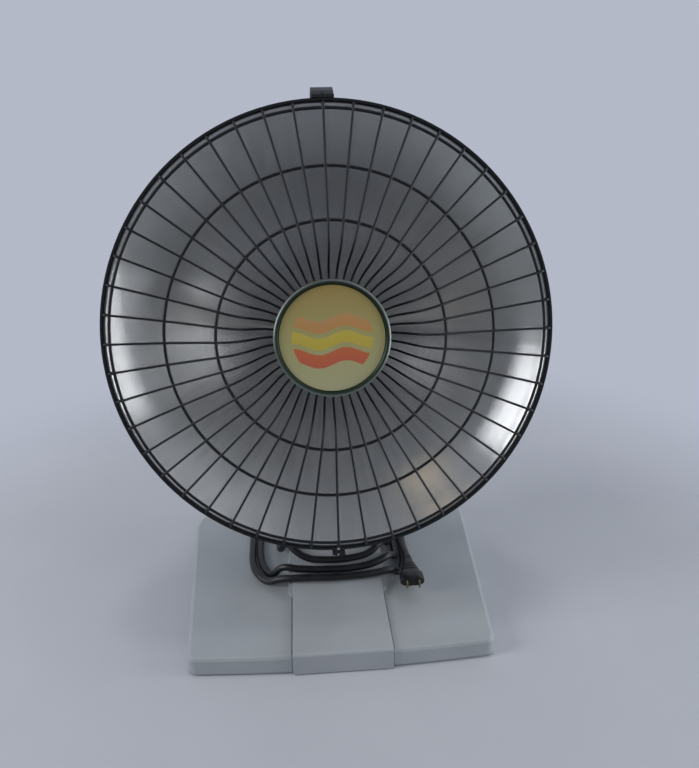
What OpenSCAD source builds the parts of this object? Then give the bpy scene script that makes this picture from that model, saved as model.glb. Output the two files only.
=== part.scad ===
// Free-standing parabolic heater: a spun reflector behind a domed wire guard, on a moulded stand.
// X is to the right, Y goes back and Z up. The reflector faces -Y and the origin is on the floor,
// below the middle of the heater without its mains lead.

/* [Dish] */
// Outside radius of the rim band
rim_r = 203; // [198:1:210]
// Focal length as a share of the reflector's radius
focal_share = 0.453; // [0.44:0.001:0.48]
// Tilt of the dish's axis above the horizontal at rest
tilt = 11.5; // [6:0.5:14]
// Thickness of the reflector's sheet
reflector_t = 0.8; // [0.6:0.1:1.2]
// Number of vent slots round the back shell
vent_count = 36; // [24:4:48]
// Radius of the rear cover's drum
drum_r = 120; // [116:1:123]
// Depth of the rear cover
drum_depth = 34; // [32:1:38]
// Wall of the rear cover
drum_wall = 2.5; // [2:0.25:3]

/* [Guard] */
// Number of spokes
spoke_count = 48; // [36:4:52]
// Radius of a spoke's wire
spoke_r = 1.1; // [0.9:0.1:1.3]
// Radius of the wire of the three inner rings
ring_wire_r = 1.4; // [1.2:0.05:1.7]
// Radius of the wire of the rim ring
rim_wire_r = 1; // [0.9:0.05:1.2]
// How far the outer ring lies inside the rim
outer_ring_inset = 9; // [8.5:0.5:11]
// Radius of the middle ring
ring_middle_r = 146; // [138:1:154]
// Radius of the inner ring
ring_inner_r = 100; // [97:1:106]
// How far the guard's crown stands in front of the outer ring
crown_h = 23; // [18:1:28]
// Radius of the guard's crown
crown_r = 93; // [90:1:95]

/* [Badge] */
// Outside radius of the badge's bezel
bezel_r = 51; // [49:0.5:53]
// Depth of the bezel
bezel_h = 12.5; // [10:0.5:14]
// Width of the bezel's face
bezel_face = 5; // [4:0.5:6]

/* [Heating element] */
// Length of the ceramic core between its brackets
core_len = 91; // [85:1:96]
// Radius of the ceramic core
core_r = 5; // [4.5:0.25:5.5]
// Number of turns of the heating wire
element_turns = 22; // [16:1:24]
// Radius of the heating wire
element_wire_r = 0.7; // [0.5:0.1:0.8]

/* [Base] */
// Half of the base's width at the centres of its front corners
base_front_half = 138; // [130:1:146]
// Half of the base's width at the centres of its rear corners
base_rear_half = 116; // [112:1:122]
// Radius of the base's front corners
front_corner_r = 9; // [6:1:12]
// Radius of the base's rear corners
rear_corner_r = 50; // [44:1:54]
// Place of the base's rear edge
base_rear = 143.2; // [142:0.2:150]
// Place of the base's front edge at its corners
base_front = -136; // [-139:1:-133]
// How far the front edge bows forward at its middle
front_bow = 5.5; // [4:0.5:7]
// Height of the base's top
base_top = 21; // [20:0.5:23]
// Wall of the base and of the neck
wall = 2.8; // [2.4:0.1:3.2]

/* [Neck] */
// Half of the front cover's width
cover_half = 47.5; // [46:0.5:51]
// Thickness of the front cover
cover_t = 3; // [2.5:0.25:3.5]
// Radius of the sweep from the front cover's flat into the neck
sweep_r = 75; // [70:1:80]
// Slope of the neck between its two sweeps
sweep_angle = 50; // [46:1:54]
// Radius of the sweep that brings the neck upright
upright_sweep_r = 60; // [50:1:64]
// Front of the neck's upright part
neck_front = 71; // [68:0.5:73]
// Depth of the neck's upright part
neck_depth = 29; // [28.5:0.5:32]

/* [Pivot] */
// Length of the tilt bracket's arms, from the rear cover to the pivot
arm_len = 22; // [20:0.5:26]
// Height of the pivot
pivot_z = 277.7; // [272:0.1:290]
// How far the neck's top lies below the pivot
neck_drop = 19.7; // [18:0.1:22]
// Radius of the pivot bolt
pivot_r = 4; // [3.5:0.25:4.5]
// Sheet thickness of the upright and of the tilt bracket
sheet_t = 2; // [1.5:0.25:2.5]

/* [Handle] */
// Width of the carry handle
handle_w = 19.5; // [18:0.5:22]
// Thickness of the carry handle's strap
handle_t = 4; // [3:0.5:5]
// How far the carry handle rises above the rim
handle_rise = 18; // [12:1:24]

/* [Cord] */
// Radius of the mains lead
cord_r = 3.75; // [3.5:0.05:3.75]

/* [Hidden] */
$fn = 64;

// Clearances
touch = 0.03;        // between pieces that lie against each other
running = 0.05;      // radial, round a shaft or pin
seam = 0.4;          // between a moulding and what it surrounds

// Colours
grey = [0.60, 0.62, 0.64];
charcoal = [0.16, 0.17, 0.18];
wire_black = [0.10, 0.11, 0.12];
bright = [0.80, 0.80, 0.80];
steel = [0.55, 0.57, 0.60];
cord_black = [0.08, 0.08, 0.09];
ivory = [0.88, 0.86, 0.80];
brass = [0.80, 0.65, 0.35];

// ---- Functions ----

function unit(v) = v / norm(v);
function smooth(t) = let (c = min(1, max(0, t))) c * c * (3 - 2 * c);
function arc(c, r, a0, a1, n) = [for (i = [0:n]) let (a = a0 + (a1 - a0) * i / n) c + r * [cos(a), sin(a)]];
function mirrored(points) = [for (i = [len(points) - 1:-1:0]) [-points[i][0], points[i][1]]];
function path_length(p) = len(p) < 2 ? 0 : [for (i = 0, s = 0; i < len(p) - 1;
    s = s + norm(p[i + 1] - p[i]), i = i + 1) s + norm(p[i + 1] - p[i])][len(p) - 2];

// Distance between point q and the stretch from a to b
function off_line(q, a, b) = let (d = b - a, t = min(1, max(0, (q - a) * d / (d * d)))) norm(q - a - t * d);
// Least gap of a tube to its own other turns, leaving out its neighbours within skip steps
function least_gap(p, r, skip) = min([for (i = [0:len(p) - 1], j = [0:len(p) - 2])
    if (abs(i - j) > skip && abs(i - j - 1) > skip) off_line(p[i], p[j], p[j + 1])]) - 2 * r;

// A tube of n sides along a path; up is any direction that the path never follows
module tube(path, r, n, up) {
    last = len(path) - 1;
    points = [for (i = [0:last]) let (
        t = unit(path[min(i + 1, last)] - path[max(i - 1, 0)]),
        s = unit(cross(t, up)), v = cross(s, t))
        for (k = [0:n - 1]) path[i] + r * (cos(360 * k / n) * s + sin(360 * k / n) * v)];
    sides = [for (i = [0:last - 1], k = [0:n - 1]) let (
        a = i * n + k, b = i * n + (k + 1) % n)
        for (f = [[a, b, b + n], [a, b + n, a + n]]) f];
    // each end is closed by a fan of triangles
    caps = [for (k = [1:n - 2]) for (f = [[0, k + 1, k], [last * n, last * n + k, last * n + k + 1]]) f];
    polyhedron(points, concat(caps, sides), convexity = 10);
}

// ---- Dish: its own frame has x to the right, y up and z along the axis to the front ----

// Reflector
flange_r = rim_r - 1.4;                                // edge of the reflector's flange
dish_r = flange_r - 2.8;                               // edge of the paraboloid
focal = focal_share * dish_r;                          // focal length of the paraboloid
flange_z = -7.5;                                       // front of the reflector's flange
vertex_z = flange_z - dish_r * dish_r / (4 * focal);   // deepest point of the reflector
focus_z = vertex_z + focal;
centre_hole_r = 8;
lead_hole_r = 2.7;
dish_steps = 28;
function bowl_z(r) = vertex_z + r * r / (4 * focal);
function bowl_back_z(r) = bowl_z(r) - reflector_t * sqrt(1 + pow(r / (2 * focal), 2));

// Mounting strap and rear cover, one behind the other
strap_back = vertex_z - reflector_t - 0.5 - sheet_t;
strap_half = 100;
strap_half_w = 18;
spacer_len = 6.9;
drum_inside = strap_back - spacer_len;                 // inside of the drum's back plate
drum_back = drum_inside - drum_wall;                   // rear face of the drum
drum_front = drum_back + drum_depth;
pivot_back = arm_len - drum_back;                      // from the outer ring's plane to the pivot

// Back shell
shell_t = 1;                                           // thickness of the back shell's sheet
shell_front = flange_z - reflector_t - touch;          // front of its rim flange
shell_back = drum_front + touch;                       // back of its rear flange
shell_rim_r = dish_r + 0.7 + shell_t;
shell_drum_r = drum_r + 4;
shell_hole_r = drum_r - 14;
vent_w = 4;
vent_len = 36;
vent_mid_r = 155;

// Rim band
band_t = 1.2;
band_front = flange_z + 2 * rim_wire_r + 0.3 + band_t; // its lip holds the rim ring
band_back = shell_front - shell_t - touch - band_t;
band_mid = (band_front + band_back) / 2;
band_split = 3;
ear_rise = 3.4;

// Guard
edge_h = ring_wire_r + spoke_r + touch;                // spokes lie on the outer ring
hub_h = -10;                                           // spokes at the hub
spoke_in_r = 44;
hub_r = 50;
hub_t = 1.5;
dive = 36;                                             // radial length of the spokes' dive
ring_outer_r = rim_r - outer_ring_inset;
rim_ring_r = flange_r - rim_wire_r + 0.1;
rim_ring_z = flange_z + rim_wire_r + touch;
spoke_end_r = rim_ring_r - rim_wire_r - spoke_r - touch;   // spokes end beside the rim ring
// Height of a spoke's centre line in front of the outer ring, at radius r
function spoke_h(r) = r >= crown_r
    ? edge_h + (crown_h - edge_h) * pow(max(0, 1 - (r - crown_r) / (ring_outer_r - crown_r)), 1.9)
    : crown_h - (crown_h - hub_h) * smooth(pow(min(1, (crown_r - r) / dive), 1.5));

// Badge
bezel_back = 12;
bezel_front = bezel_back + bezel_h;
bezel_sheet = 1.2;
post_r = 6;

// Element
bracket_sheet = 1.5;
strip_back = bowl_z(core_len / 2 + bracket_sheet) + 0.9;
strip_half_w = 8;
core_end_r = 4;
lead_x = core_len / 2 + 6.5;

// Thermostat
stat_y = 0.65 * drum_r;
shaft_r = 3;
bushing_r = 5;
bushing_back = drum_back - 1;
knob_front = bushing_back - 0.6;
knob_back = knob_front - 15;
knob_r = 18;

// Tilt bracket
plate_half = 20;                                       // half of the height of the bracket's plate
arm_half = 21.6;                                       // outside of the bracket's arms
washer_t = 0.6;
ear_half = arm_half + washer_t + 0.1;                  // inside of the upright's ears
bolt_x = 13;
bolt_y = 14;
bolt_r = 3;

module in_dish() {
    translate([0, pivot_y, pivot_z]) rotate([90 - tilt, 0, 0]) translate([0, 0, pivot_back]) children();
}

module reflector() {
    r_at = [for (i = [0:dish_steps]) centre_hole_r + (dish_r - centre_hole_r) * i / dish_steps];
    front = [for (r = r_at) [r, bowl_z(r)]];
    back = [for (i = [dish_steps:-1:0]) [r_at[i], bowl_back_z(r_at[i])]];
    color(bright) in_dish() difference() {
        rotate_extrude($fn = 180) polygon(concat(front, [[flange_r, flange_z],
            [flange_r, flange_z - reflector_t], [dish_r + 0.6, flange_z - reflector_t]], back));
        for (s = [-1, 1]) translate([s * lead_x, 0, vertex_z]) cylinder(r = lead_hole_r, h = 20, center = true);
    }
}

module back_shell() {
    // quarter of an ellipse from the rim to the drum
    mid = [shell_drum_r, shell_front - shell_t];
    reach = [shell_rim_r - shell_drum_r, mid[1] - shell_back];
    function curve(d) = [for (i = [0:20]) let (a = 90 * i / 20)
        mid + [(reach[0] - d) * cos(a), -(reach[1] - d) * sin(a)]];
    inner = curve(shell_t);
    color(charcoal) in_dish() difference() {
        rotate_extrude($fn = 180) polygon(concat(
            [[shell_rim_r - shell_t, shell_front], [flange_r, shell_front], [flange_r, mid[1]]], curve(0),
            [[shell_hole_r, shell_back], [shell_hole_r, shell_back + shell_t]],
            [for (i = [20:-1:0]) inner[i]]));
        for (i = [0:vent_count - 1]) rotate(i * 360 / vent_count + 180 / vent_count)
            translate([vent_mid_r, 0, shell_back]) cube([vent_len, vent_w, 80], center = true);
    }
}

module rear_cover() {
    color(charcoal) in_dish() difference() {
        rotate_extrude($fn = 128) polygon(concat(
            [[0, drum_back], [drum_r - 6, drum_back]],
            arc([drum_r - 6, drum_back + 6], 6, -90, 0, 5),
            [[drum_r, drum_front], [drum_r - drum_wall, drum_front],
             [drum_r - drum_wall, drum_inside + 4], [drum_r - drum_wall - 4, drum_inside], [0, drum_inside]]));
        translate([0, stat_y, drum_back]) cylinder(r = bushing_r + running, h = 10, center = true);
        for (x = [-bolt_x, bolt_x], y = [-bolt_y, bolt_y]) translate([x, y, drum_back])
            cylinder(r = bolt_r + 0.2, h = 10, center = true);
        // slots that let warm air out, left and right of the bracket
        for (s = [-1, 1], y = [-48:12:48]) translate([s * 68, y, drum_back]) cube([44, 4, 12], center = true);
        for (a = [45:90:315]) rotate(a) translate([drum_r, 0, drum_front - 8]) rotate([0, 90, 0])
            cylinder(r = 1.7, h = 12, center = true);
        translate([0, 0, handle_rear_z - rear_screw]) handle_hole(drum_r);
    }
}

module cover_screws() {
    color(steel) in_dish() for (a = [45:90:315]) rotate(a) {
        translate([drum_r + touch, 0, drum_front - 8]) rotate([0, 90, 0]) cylinder(r1 = 3.2, r2 = 2.4, h = 1.6);
        translate([drum_r - 9, 0, drum_front - 8]) rotate([0, 90, 0]) cylinder(r = 1.6, h = 9 + touch);
    }
}

module rim_band() {
    color(charcoal) in_dish() {
        difference() {
            rotate_extrude($fn = 180) polygon([
                [rim_ring_r + 0.2, band_front], [rim_r, band_front], [rim_r, band_back],
                [shell_rim_r + 0.3, band_back], [shell_rim_r + 0.3, band_back + band_t],
                [rim_r - band_t, band_back + band_t], [rim_r - band_t, band_front - band_t],
                [rim_ring_r + 0.2, band_front - band_t]]);
            translate([0, -rim_r, 0]) cube([band_split, 20, 40], center = true);
            translate([0, 0, handle_front_z]) handle_hole(rim_r);
        }
        // two ears that the closing screw draws together
        for (s = [-1, 1]) translate([s * (band_split / 2 + 1), -rim_r - ear_rise, band_mid]) difference() {
            cube([2, 2 * ear_rise + 0.8, 7], center = true);
            rotate([0, 90, 0]) cylinder(r = 1.7, h = 6, center = true);
        }
    }
}

module rim_band_screw() {
    color(steel) in_dish() translate([0, -rim_r - ear_rise, band_mid]) rotate([0, 90, 0]) {
        cylinder(r = 1.6, h = band_split + 9, center = true);
        translate([0, 0, band_split / 2 + 2 + touch]) cylinder(r = 3, h = 2.4);
        translate([0, 0, -band_split / 2 - 4.4 - touch]) cylinder(r = 3, h = 2.4, $fn = 6);
    }
}

module guard_ring(r, z, wire) {
    color(wire_black) in_dish() rotate_extrude($fn = 180) translate([r, z]) circle(wire, $fn = 24);
}
module guard_rim_ring() { guard_ring(rim_ring_r, rim_ring_z, rim_wire_r); }
module guard_ring_outer() { guard_ring(ring_outer_r, 0, ring_wire_r); }
module guard_ring_middle() { guard_ring(ring_middle_r, under_spokes(ring_middle_r), ring_wire_r); }
module guard_ring_inner() { guard_ring(ring_inner_r, under_spokes(ring_inner_r), ring_wire_r); }

// Height of a ring that the spokes lie on, square to their slope at radius r
function under_spokes(r) = let (slope = (spoke_h(r + 1) - spoke_h(r - 1)) / 2)
    spoke_h(r) - (ring_wire_r + spoke_r + touch) * sqrt(1 + slope * slope);

module guard_spokes() {
    // closer together over the crown and the dive, where the wire bends most
    dive_at = [for (k = [0:4]) crown_r - dive * k / 4];
    rise_at = [for (k = [0.25, 0.5, 0.75]) crown_r + (ring_outer_r - crown_r) * k];
    r_at = concat([spoke_in_r], [for (i = [4:-1:0]) dive_at[i]], rise_at, [ring_outer_r]);
    // past the outer ring each spoke turns down beside the rim ring
    path = concat([for (r = r_at) [r, 0, spoke_h(r)]],
        [[spoke_end_r - 1.35, 0, edge_h - 0.18], [spoke_end_r - 0.35, 0, edge_h - 1.35],
         [spoke_end_r, 0, edge_h - 4.1], [spoke_end_r, 0, rim_ring_z - 0.6]]);
    color(wire_black) in_dish() for (i = [0:spoke_count - 1])
        rotate(90 + i * 360 / spoke_count) tube(path, spoke_r, 6, [0, 1, 0]);
}

module guard_hub() {
    color(wire_black) in_dish() translate([0, 0, hub_h - spoke_r - touch - hub_t]) cylinder(r = hub_r, h = hub_t);
}

module badge_post() {
    back = hub_h - spoke_r;
    color(steel) in_dish() translate([0, 0, back]) cylinder(r = post_r, h = bezel_back - touch - back);
}

module badge_bezel() {
    in_r = bezel_r - bezel_face;
    color([0.62, 0.62, 0.60]) in_dish() rotate_extrude($fn = 128) polygon(concat(
        [[0, bezel_back], [bezel_r - 3, bezel_back]],
        arc([bezel_r - 3, bezel_back + 3], 3, -90, 0, 4),
        arc([bezel_r - 2, bezel_front - 2], 2, 0, 90, 5),
        [[in_r + 1.5, bezel_front - 0.4], [in_r, bezel_front - 3], [in_r - 2, bezel_front - 3],
         [in_r - 2, bezel_front - 3 - bezel_sheet], [bezel_r - bezel_sheet - 1, bezel_front - 3 - bezel_sheet],
         [bezel_r - bezel_sheet - 1, bezel_back + bezel_sheet + 2],
         [bezel_r - 5, bezel_back + bezel_sheet], [0, bezel_back + bezel_sheet]]));
}

module badge_disc() {
    r = bezel_r - bezel_face - 0.2;
    sag = 1.2;
    dome = (r * r + sag * sag) / (2 * sag);
    z0 = bezel_front - 3 + touch;
    color([0.78, 0.76, 0.36]) in_dish() rotate_extrude($fn = 128) polygon(concat(
        [[0, z0], [r, z0], [r, z0 + 0.6]],
        [for (i = [1:8]) let (x = r * (1 - i / 8)) [x, z0 + 0.6 + sag - dome + sqrt(dome * dome - x * x)]]));
}

module mounting_strap() {
    foot = drum_r - 7;
    color(steel) in_dish() difference() {
        rotate([90, 0, 0]) linear_extrude(2 * strap_half_w, center = true) {
            translate([-strap_half, strap_back]) square([2 * strap_half, sheet_t]);
            for (s = [0, 1]) mirror([s, 0]) {
                translate([strap_half - sheet_t, strap_back]) square([sheet_t, shell_back - touch - strap_back]);
                translate([strap_half - sheet_t, shell_back - touch - sheet_t])
                    square([foot - strap_half + sheet_t, sheet_t]);
            }
        }
        for (x = [-bolt_x, bolt_x], y = [-bolt_y, bolt_y]) translate([x, y, strap_back])
            cylinder(r = bolt_r + running, h = 10, center = true);
        for (s = [-1, 1]) translate([s * lead_x, 0, strap_back]) cylinder(r = 5, h = 10, center = true);
    }
}

module element_bracket() {
    half = core_len / 2 + running;
    color(steel) in_dish() difference() {
        union() {
            translate([-half - bracket_sheet, -strip_half_w, strip_back])
                cube([2 * (half + bracket_sheet), 2 * strip_half_w, bracket_sheet]);
            // stem through the middle of the reflector to the mounting strap
            translate([0, 0, strap_back + sheet_t + touch])
                cylinder(r = centre_hole_r - 0.5, h = strip_back - strap_back - sheet_t);
            for (s = [0, 1]) mirror([s, 0, 0]) translate([half, 0, 0]) rotate([90, 0, 90])
                linear_extrude(bracket_sheet) union() {
                    translate([0, focus_z]) circle(8);
                    translate([-strip_half_w, strip_back]) square([2 * strip_half_w, 6]);
                    polygon([[-strip_half_w, strip_back + 6], [strip_half_w, strip_back + 6],
                             [5, focus_z - 6], [-5, focus_z - 6]]);
                }
        }
        translate([0, 0, focus_z]) rotate([0, 90, 0]) cylinder(r = core_end_r + running, h = 140, center = true);
        for (s = [-1, 1]) translate([s * lead_x, 0, strip_back]) cylinder(r = 2, h = 8, center = true);
    }
}

module element_core() {
    color(ivory) in_dish() translate([0, 0, focus_z]) rotate([0, 90, 0]) {
        cylinder(r = core_r, h = core_len, center = true);
        cylinder(r = core_end_r, h = core_len + 12, center = true);
        for (s = [-1, 1]) translate([0, 0, s * (core_len / 2 - 2)]) cylinder(r = core_r + 2, h = 4, center = true);
    }
}

element_pitch = (core_len - 16) / element_turns;
element_path = [for (i = [0:element_turns * 8]) let (a = i * 45, r = (core_r + element_wire_r + 0.1) / cos(22.5))
    [(i / 8 - element_turns / 2) * element_pitch, r * cos(a), focus_z + r * sin(a)]];
module element_coil() {
    echo("least gap of the heating wire", least_gap(element_path, element_wire_r, 4));
    color([0.45, 0.40, 0.36]) in_dish() tube(element_path, element_wire_r, 6, [1, 0, 0]);
}

module element_terminals() {
    color(brass) in_dish() for (s = [0, 1]) mirror([s, 0, 0])
        translate([core_len / 2 + bracket_sheet + 0.2, 0, focus_z]) rotate([0, 90, 0]) difference() {
            union() {
                cylinder(r = core_end_r + 2, h = 3);
                translate([0, -3, 0]) cube([14, 6, 3]);
            }
            cylinder(r = core_end_r + running, h = 10, center = true);
        }
}

module element_leads() {
    top = focus_z - 14 - touch;
    color(ivory) in_dish() for (s = [-1, 1]) translate([s * lead_x, 0, 0]) {
        translate([0, 0, strap_back + sheet_t]) cylinder(r = 1.2, h = top - strap_back - sheet_t);
        // ceramic bead where the lead passes the reflector
        translate([0, 0, bowl_back_z(lead_x) - 3]) cylinder(r = lead_hole_r - 0.2, h = 9);
    }
}

module terminal_block() {
    color(ivory) in_dish() translate([-54, -72, drum_inside + touch]) difference() {
        cube([36, 14, 11]);
        for (x = [7, 18, 29]) translate([x, 7, 6]) cylinder(r = 3, h = 8);
    }
}

module thermostat_body() {
    color(charcoal) in_dish() translate([0, stat_y, 0]) difference() {
        union() {
            translate([-16, -16, drum_inside + touch]) cube([32, 32, 14]);
            translate([0, 0, bushing_back]) cylinder(r = bushing_r, h = drum_inside - bushing_back + 2);
        }
        translate([0, 0, bushing_back - 1]) cylinder(r = shaft_r + running, h = 14);
    }
}

module thermostat_shaft() {
    color(steel) in_dish() translate([0, stat_y, knob_back + 4])
        cylinder(r = shaft_r, h = bushing_back - 1 + 13.5 - knob_back - 4);
}

module thermostat_knob() {
    color(charcoal) in_dish() translate([0, stat_y, 0]) difference() {
        union() {
            translate([0, 0, knob_back]) cylinder(r1 = knob_r - 2, r2 = knob_r, h = knob_front - knob_back);
            // pointer
            translate([-1.2, 4, knob_back - 1.2]) cube([2.4, knob_r - 7, 2]);
        }
        for (a = [0:20:340]) rotate(a + 10) translate([knob_r + 0.8, 0, knob_back - 1])
            cylinder(r = 1.8, h = knob_front - knob_back - 2);
        translate([0, 0, knob_back + 4]) cylinder(r = shaft_r + 0.02, h = 20);
        translate([0, 0, knob_front - 3]) difference() {
            cylinder(r = knob_r - 2.5, h = 4);
            cylinder(r = 6, h = 10, center = true);
        }
    }
}

module thermal_cutoff() {
    color(steel) in_dish() translate([70, 0, strap_back + sheet_t + touch]) {
        cylinder(r = 8, h = 4);
        cylinder(r = 5, h = 6);
    }
}

// Carry handle: a strap with raised edges that arches back from the rim to the drum
handle_front_z = band_mid;
handle_rear_z = drum_back + 17;
foot_len = 11;
rear_screw = 6;                                         // rear screw, behind the strap's end
screw_head = 1.6;
handle_start = [handle_front_z - 4, rim_r + touch + handle_t / 2];
handle_end = [handle_rear_z, drum_r + touch + 1];
handle_line = let (
    a = handle_start, d = handle_end,
    b = a + [-26, handle_rise * 1.42], c = d + [18, rim_r - drum_r + handle_rise * 0.9])
    [for (i = [0:14]) let (t = i / 14, u = 1 - t) u * u * u * a + 3 * u * u * t * b + 3 * u * t * t * c + t * t * t * d];
// Outline of a strip along a line, from lo to hi on its outer side
function strip(line, lo, hi) = let (last = len(line) - 1,
    out = [for (i = [0:last]) let (t = unit(line[min(i + 1, last)] - line[max(i - 1, 0)])) [t[1], -t[0]]])
    concat([for (i = [0:last]) line[i] - out[i] * hi], [for (i = [last:-1:0]) line[i] - out[i] * lo]);
module handle_hole(r) {
    translate([0, r, 0]) rotate([90, 0, 0]) cylinder(r = 1.7, h = 16, center = true);
}
module carry_handle() {
    rib = 2.2;
    color(charcoal) in_dish() difference() {
        union() {
            rotate([0, -90, 0]) {
                linear_extrude(handle_w, center = true) polygon(strip(handle_line, -handle_t / 2, handle_t / 2 - 1.4));
                for (s = [-1, 1]) translate([0, 0, s * (handle_w - rib) / 2])
                    linear_extrude(rib, center = true) polygon(strip(handle_line, -handle_t / 2, handle_t / 2));
            }
            translate([-handle_w / 2, rim_r + touch, handle_front_z - 4.5]) cube([handle_w, handle_t - 1.4, foot_len - 2]);
            translate([-handle_w / 2, drum_r + touch, handle_rear_z - foot_len + 1]) cube([handle_w, 3, foot_len]);
        }
        translate([0, 0, handle_front_z]) handle_hole(rim_r);
        translate([0, 0, handle_rear_z - rear_screw]) handle_hole(drum_r);
        // nothing of the strap's end reaches into the drum
        translate([0, 0, drum_back - 10]) cylinder(r = drum_r + touch, h = drum_depth + 20);
    }
}

module handle_screws() {
    color(steel) in_dish() {
        translate([0, rim_r + touch + handle_t - 1.4 + touch, handle_front_z]) rotate([-90, 0, 0]) {
            cylinder(r1 = 3, r2 = 2.2, h = screw_head);
            translate([0, 0, -handle_t]) cylinder(r = 1.6, h = handle_t + 0.5);
        }
        translate([0, drum_r + touch + 3 + touch, handle_rear_z - rear_screw]) rotate([-90, 0, 0]) {
            cylinder(r1 = 3, r2 = 2.2, h = screw_head);
            translate([0, 0, -7]) cylinder(r = 1.6, h = 7.5);
        }
    }
}

module tilt_bracket() {
    color(charcoal) in_dish() difference() {
        union() {
            translate([-arm_half, -plate_half, drum_back - touch - sheet_t])
                cube([2 * arm_half, 2 * plate_half, sheet_t]);
            for (s = [0, 1]) mirror([s, 0, 0]) translate([arm_half - sheet_t, 0, 0]) rotate([90, 0, 90])
                linear_extrude(sheet_t) union() {
                    translate([0, -pivot_back]) circle(10);
                    polygon([[-plate_half, drum_back - touch], [plate_half, drum_back - touch],
                             [plate_half, drum_back - 5], [10, -pivot_back], [-10, -pivot_back],
                             [-plate_half, drum_back - 5]]);
                }
        }
        translate([0, 0, -pivot_back]) rotate([0, 90, 0]) cylinder(r = pivot_r + running, h = 80, center = true);
        for (x = [-bolt_x, bolt_x], y = [-bolt_y, bolt_y]) translate([x, y, drum_back])
            cylinder(r = bolt_r + 0.2, h = 20, center = true);
    }
}

module bracket_spacers() {
    color(steel) in_dish() for (x = [-bolt_x, bolt_x], y = [-bolt_y, bolt_y])
        translate([x, y, drum_inside + touch]) difference() {
            cylinder(r = 5, h = strap_back - drum_inside - 2 * touch);
            cylinder(r = bolt_r + 0.2, h = 40, center = true);
        }
}

module bracket_bolts() {
    head = drum_back - sheet_t - 2 * touch;
    color(steel) in_dish() for (x = [-bolt_x, bolt_x], y = [-bolt_y, bolt_y]) translate([x, y, 0]) {
        translate([0, 0, head - 3.5]) cylinder(r = 5, h = 3.5, $fn = 6);
        translate([0, 0, head - 0.5]) cylinder(r = bolt_r, h = strap_back + sheet_t - head + 1.2);
    }
}

module friction_washers() {
    color([0.75, 0.30, 0.20]) in_dish() for (s = [0, 1]) mirror([s, 0, 0])
        translate([arm_half + touch, 0, -pivot_back]) rotate([0, 90, 0]) difference() {
            cylinder(r = 9, h = washer_t);
            cylinder(r = pivot_r + running, h = 10, center = true);
        }
}

// ---- Stand ----

skirt_bottom = 1.5;
plate_z = 2.5;
plate_t = 1.5;
top_round = 3.5;
panel_top = base_top + touch + cover_t;
lip_out = 1.7;                                          // how far the cover's lip stands before the base
groove_w = 1.2;                                         // gap beside the front cover
groove_h = 1.8;
sweep_y = -71;                                          // where the front cover leaves the base
panel_front = base_front - front_bow - lip_out;         // front of the cover's lip
sweep_c = [sweep_y, panel_top + sweep_r];               // centre of the lower sweep
// the upper sweep's centre: its arc is tangent to the straight part and to the upright front
lower_end = sweep_c + sweep_r * [sin(sweep_angle), -cos(sweep_angle)];
upper_start_y = neck_front - upright_sweep_r * (1 - sin(sweep_angle));
upper_start_z = lower_end[1] + (upper_start_y - lower_end[0]) * tan(sweep_angle);
upper_c = [neck_front - upright_sweep_r, upper_start_z + upright_sweep_r * cos(sweep_angle)];
neck_rear = neck_front + neck_depth;
neck_top = pivot_z - neck_drop;
neck_start = sweep_y + sweep_r / 5;                     // front end of the neck on the base
neck_start_r = 10;                                      // its round front corners
split_y = neck_rear - 13;                               // joint between the neck's two mouldings
neck_corner_r = 20;
neck_wider = 4.5;                                       // the neck stands out beside the front cover
screw_half = 28.5;                                      // neck screws, left and right
screw_heights = [neck_top - 72, neck_top - 18];
upright_rear = neck_rear - wall - 1.5;
pivot_y = upright_rear - 11.7;

// The neck's front line, moved inwards by d: from the flat on the base up to height z
function neck_line(d, z) = concat(
    arc(sweep_c, sweep_r + d, -90, sweep_angle - 90, 10),
    arc(upper_c, upright_sweep_r + d, sweep_angle - 90, 0, 8),
    [[neck_front + d, z]]);

// The base's outline, moved inwards by d
corner_f = [base_front_half, base_front + front_corner_r];
corner_r = [base_rear_half, base_rear - rear_corner_r];
corner_d = corner_r - corner_f;
side_angle = acos((front_corner_r - rear_corner_r) / norm(corner_d)) - atan2(corner_d[1], corner_d[0]);
bow_r = (pow(base_front_half, 2) + pow(front_bow, 2)) / (2 * front_bow);
bow_angle = asin(base_front_half / bow_r);
function base_outline(d) = let (half = concat(
    arc([0, base_front - front_bow + bow_r], bow_r - d, -90, -90 + bow_angle * 0.94, 6),
    arc(corner_f, front_corner_r - d, -80, -side_angle, 6),
    arc(corner_r, rear_corner_r - d, -side_angle, 90, 12)))
    concat(half, mirrored(half));

boss_places = [[120, -111], [138, -5], [112, 103]];
foot_places = [[118, -95], [122, 85]];
switch_place = [0, 27];
buzzer_place = [-80, -5];

// The base's outer form: loops of its outline, each at a height and moved inwards, joined by faces
base_loops = [[skirt_bottom, 0.8], [skirt_bottom + 2, 0], [base_top - top_round, 0],
    [base_top - top_round * 0.35, top_round * 0.3], [base_top, top_round]];
module base_form() {
    n = len(base_outline(0)) - 1;
    last = (len(base_loops) - 1) * n;
    points = [for (l = base_loops) let (p = base_outline(l[1])) for (k = [0:n - 1]) [p[k][0], p[k][1], l[0]]];
    sides = [for (i = [0:len(base_loops) - 2], k = [0:n - 1]) let (a = i * n + k, b = i * n + (k + 1) % n)
        for (f = [[a, a + n, b + n], [a, b + n, b]]) f];
    caps = [for (k = [1:n - 2]) for (f = [[0, k, k + 1], [last, last + k + 1, last + k]]) f];
    polyhedron(points, concat(caps, sides), convexity = 4);
}

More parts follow.
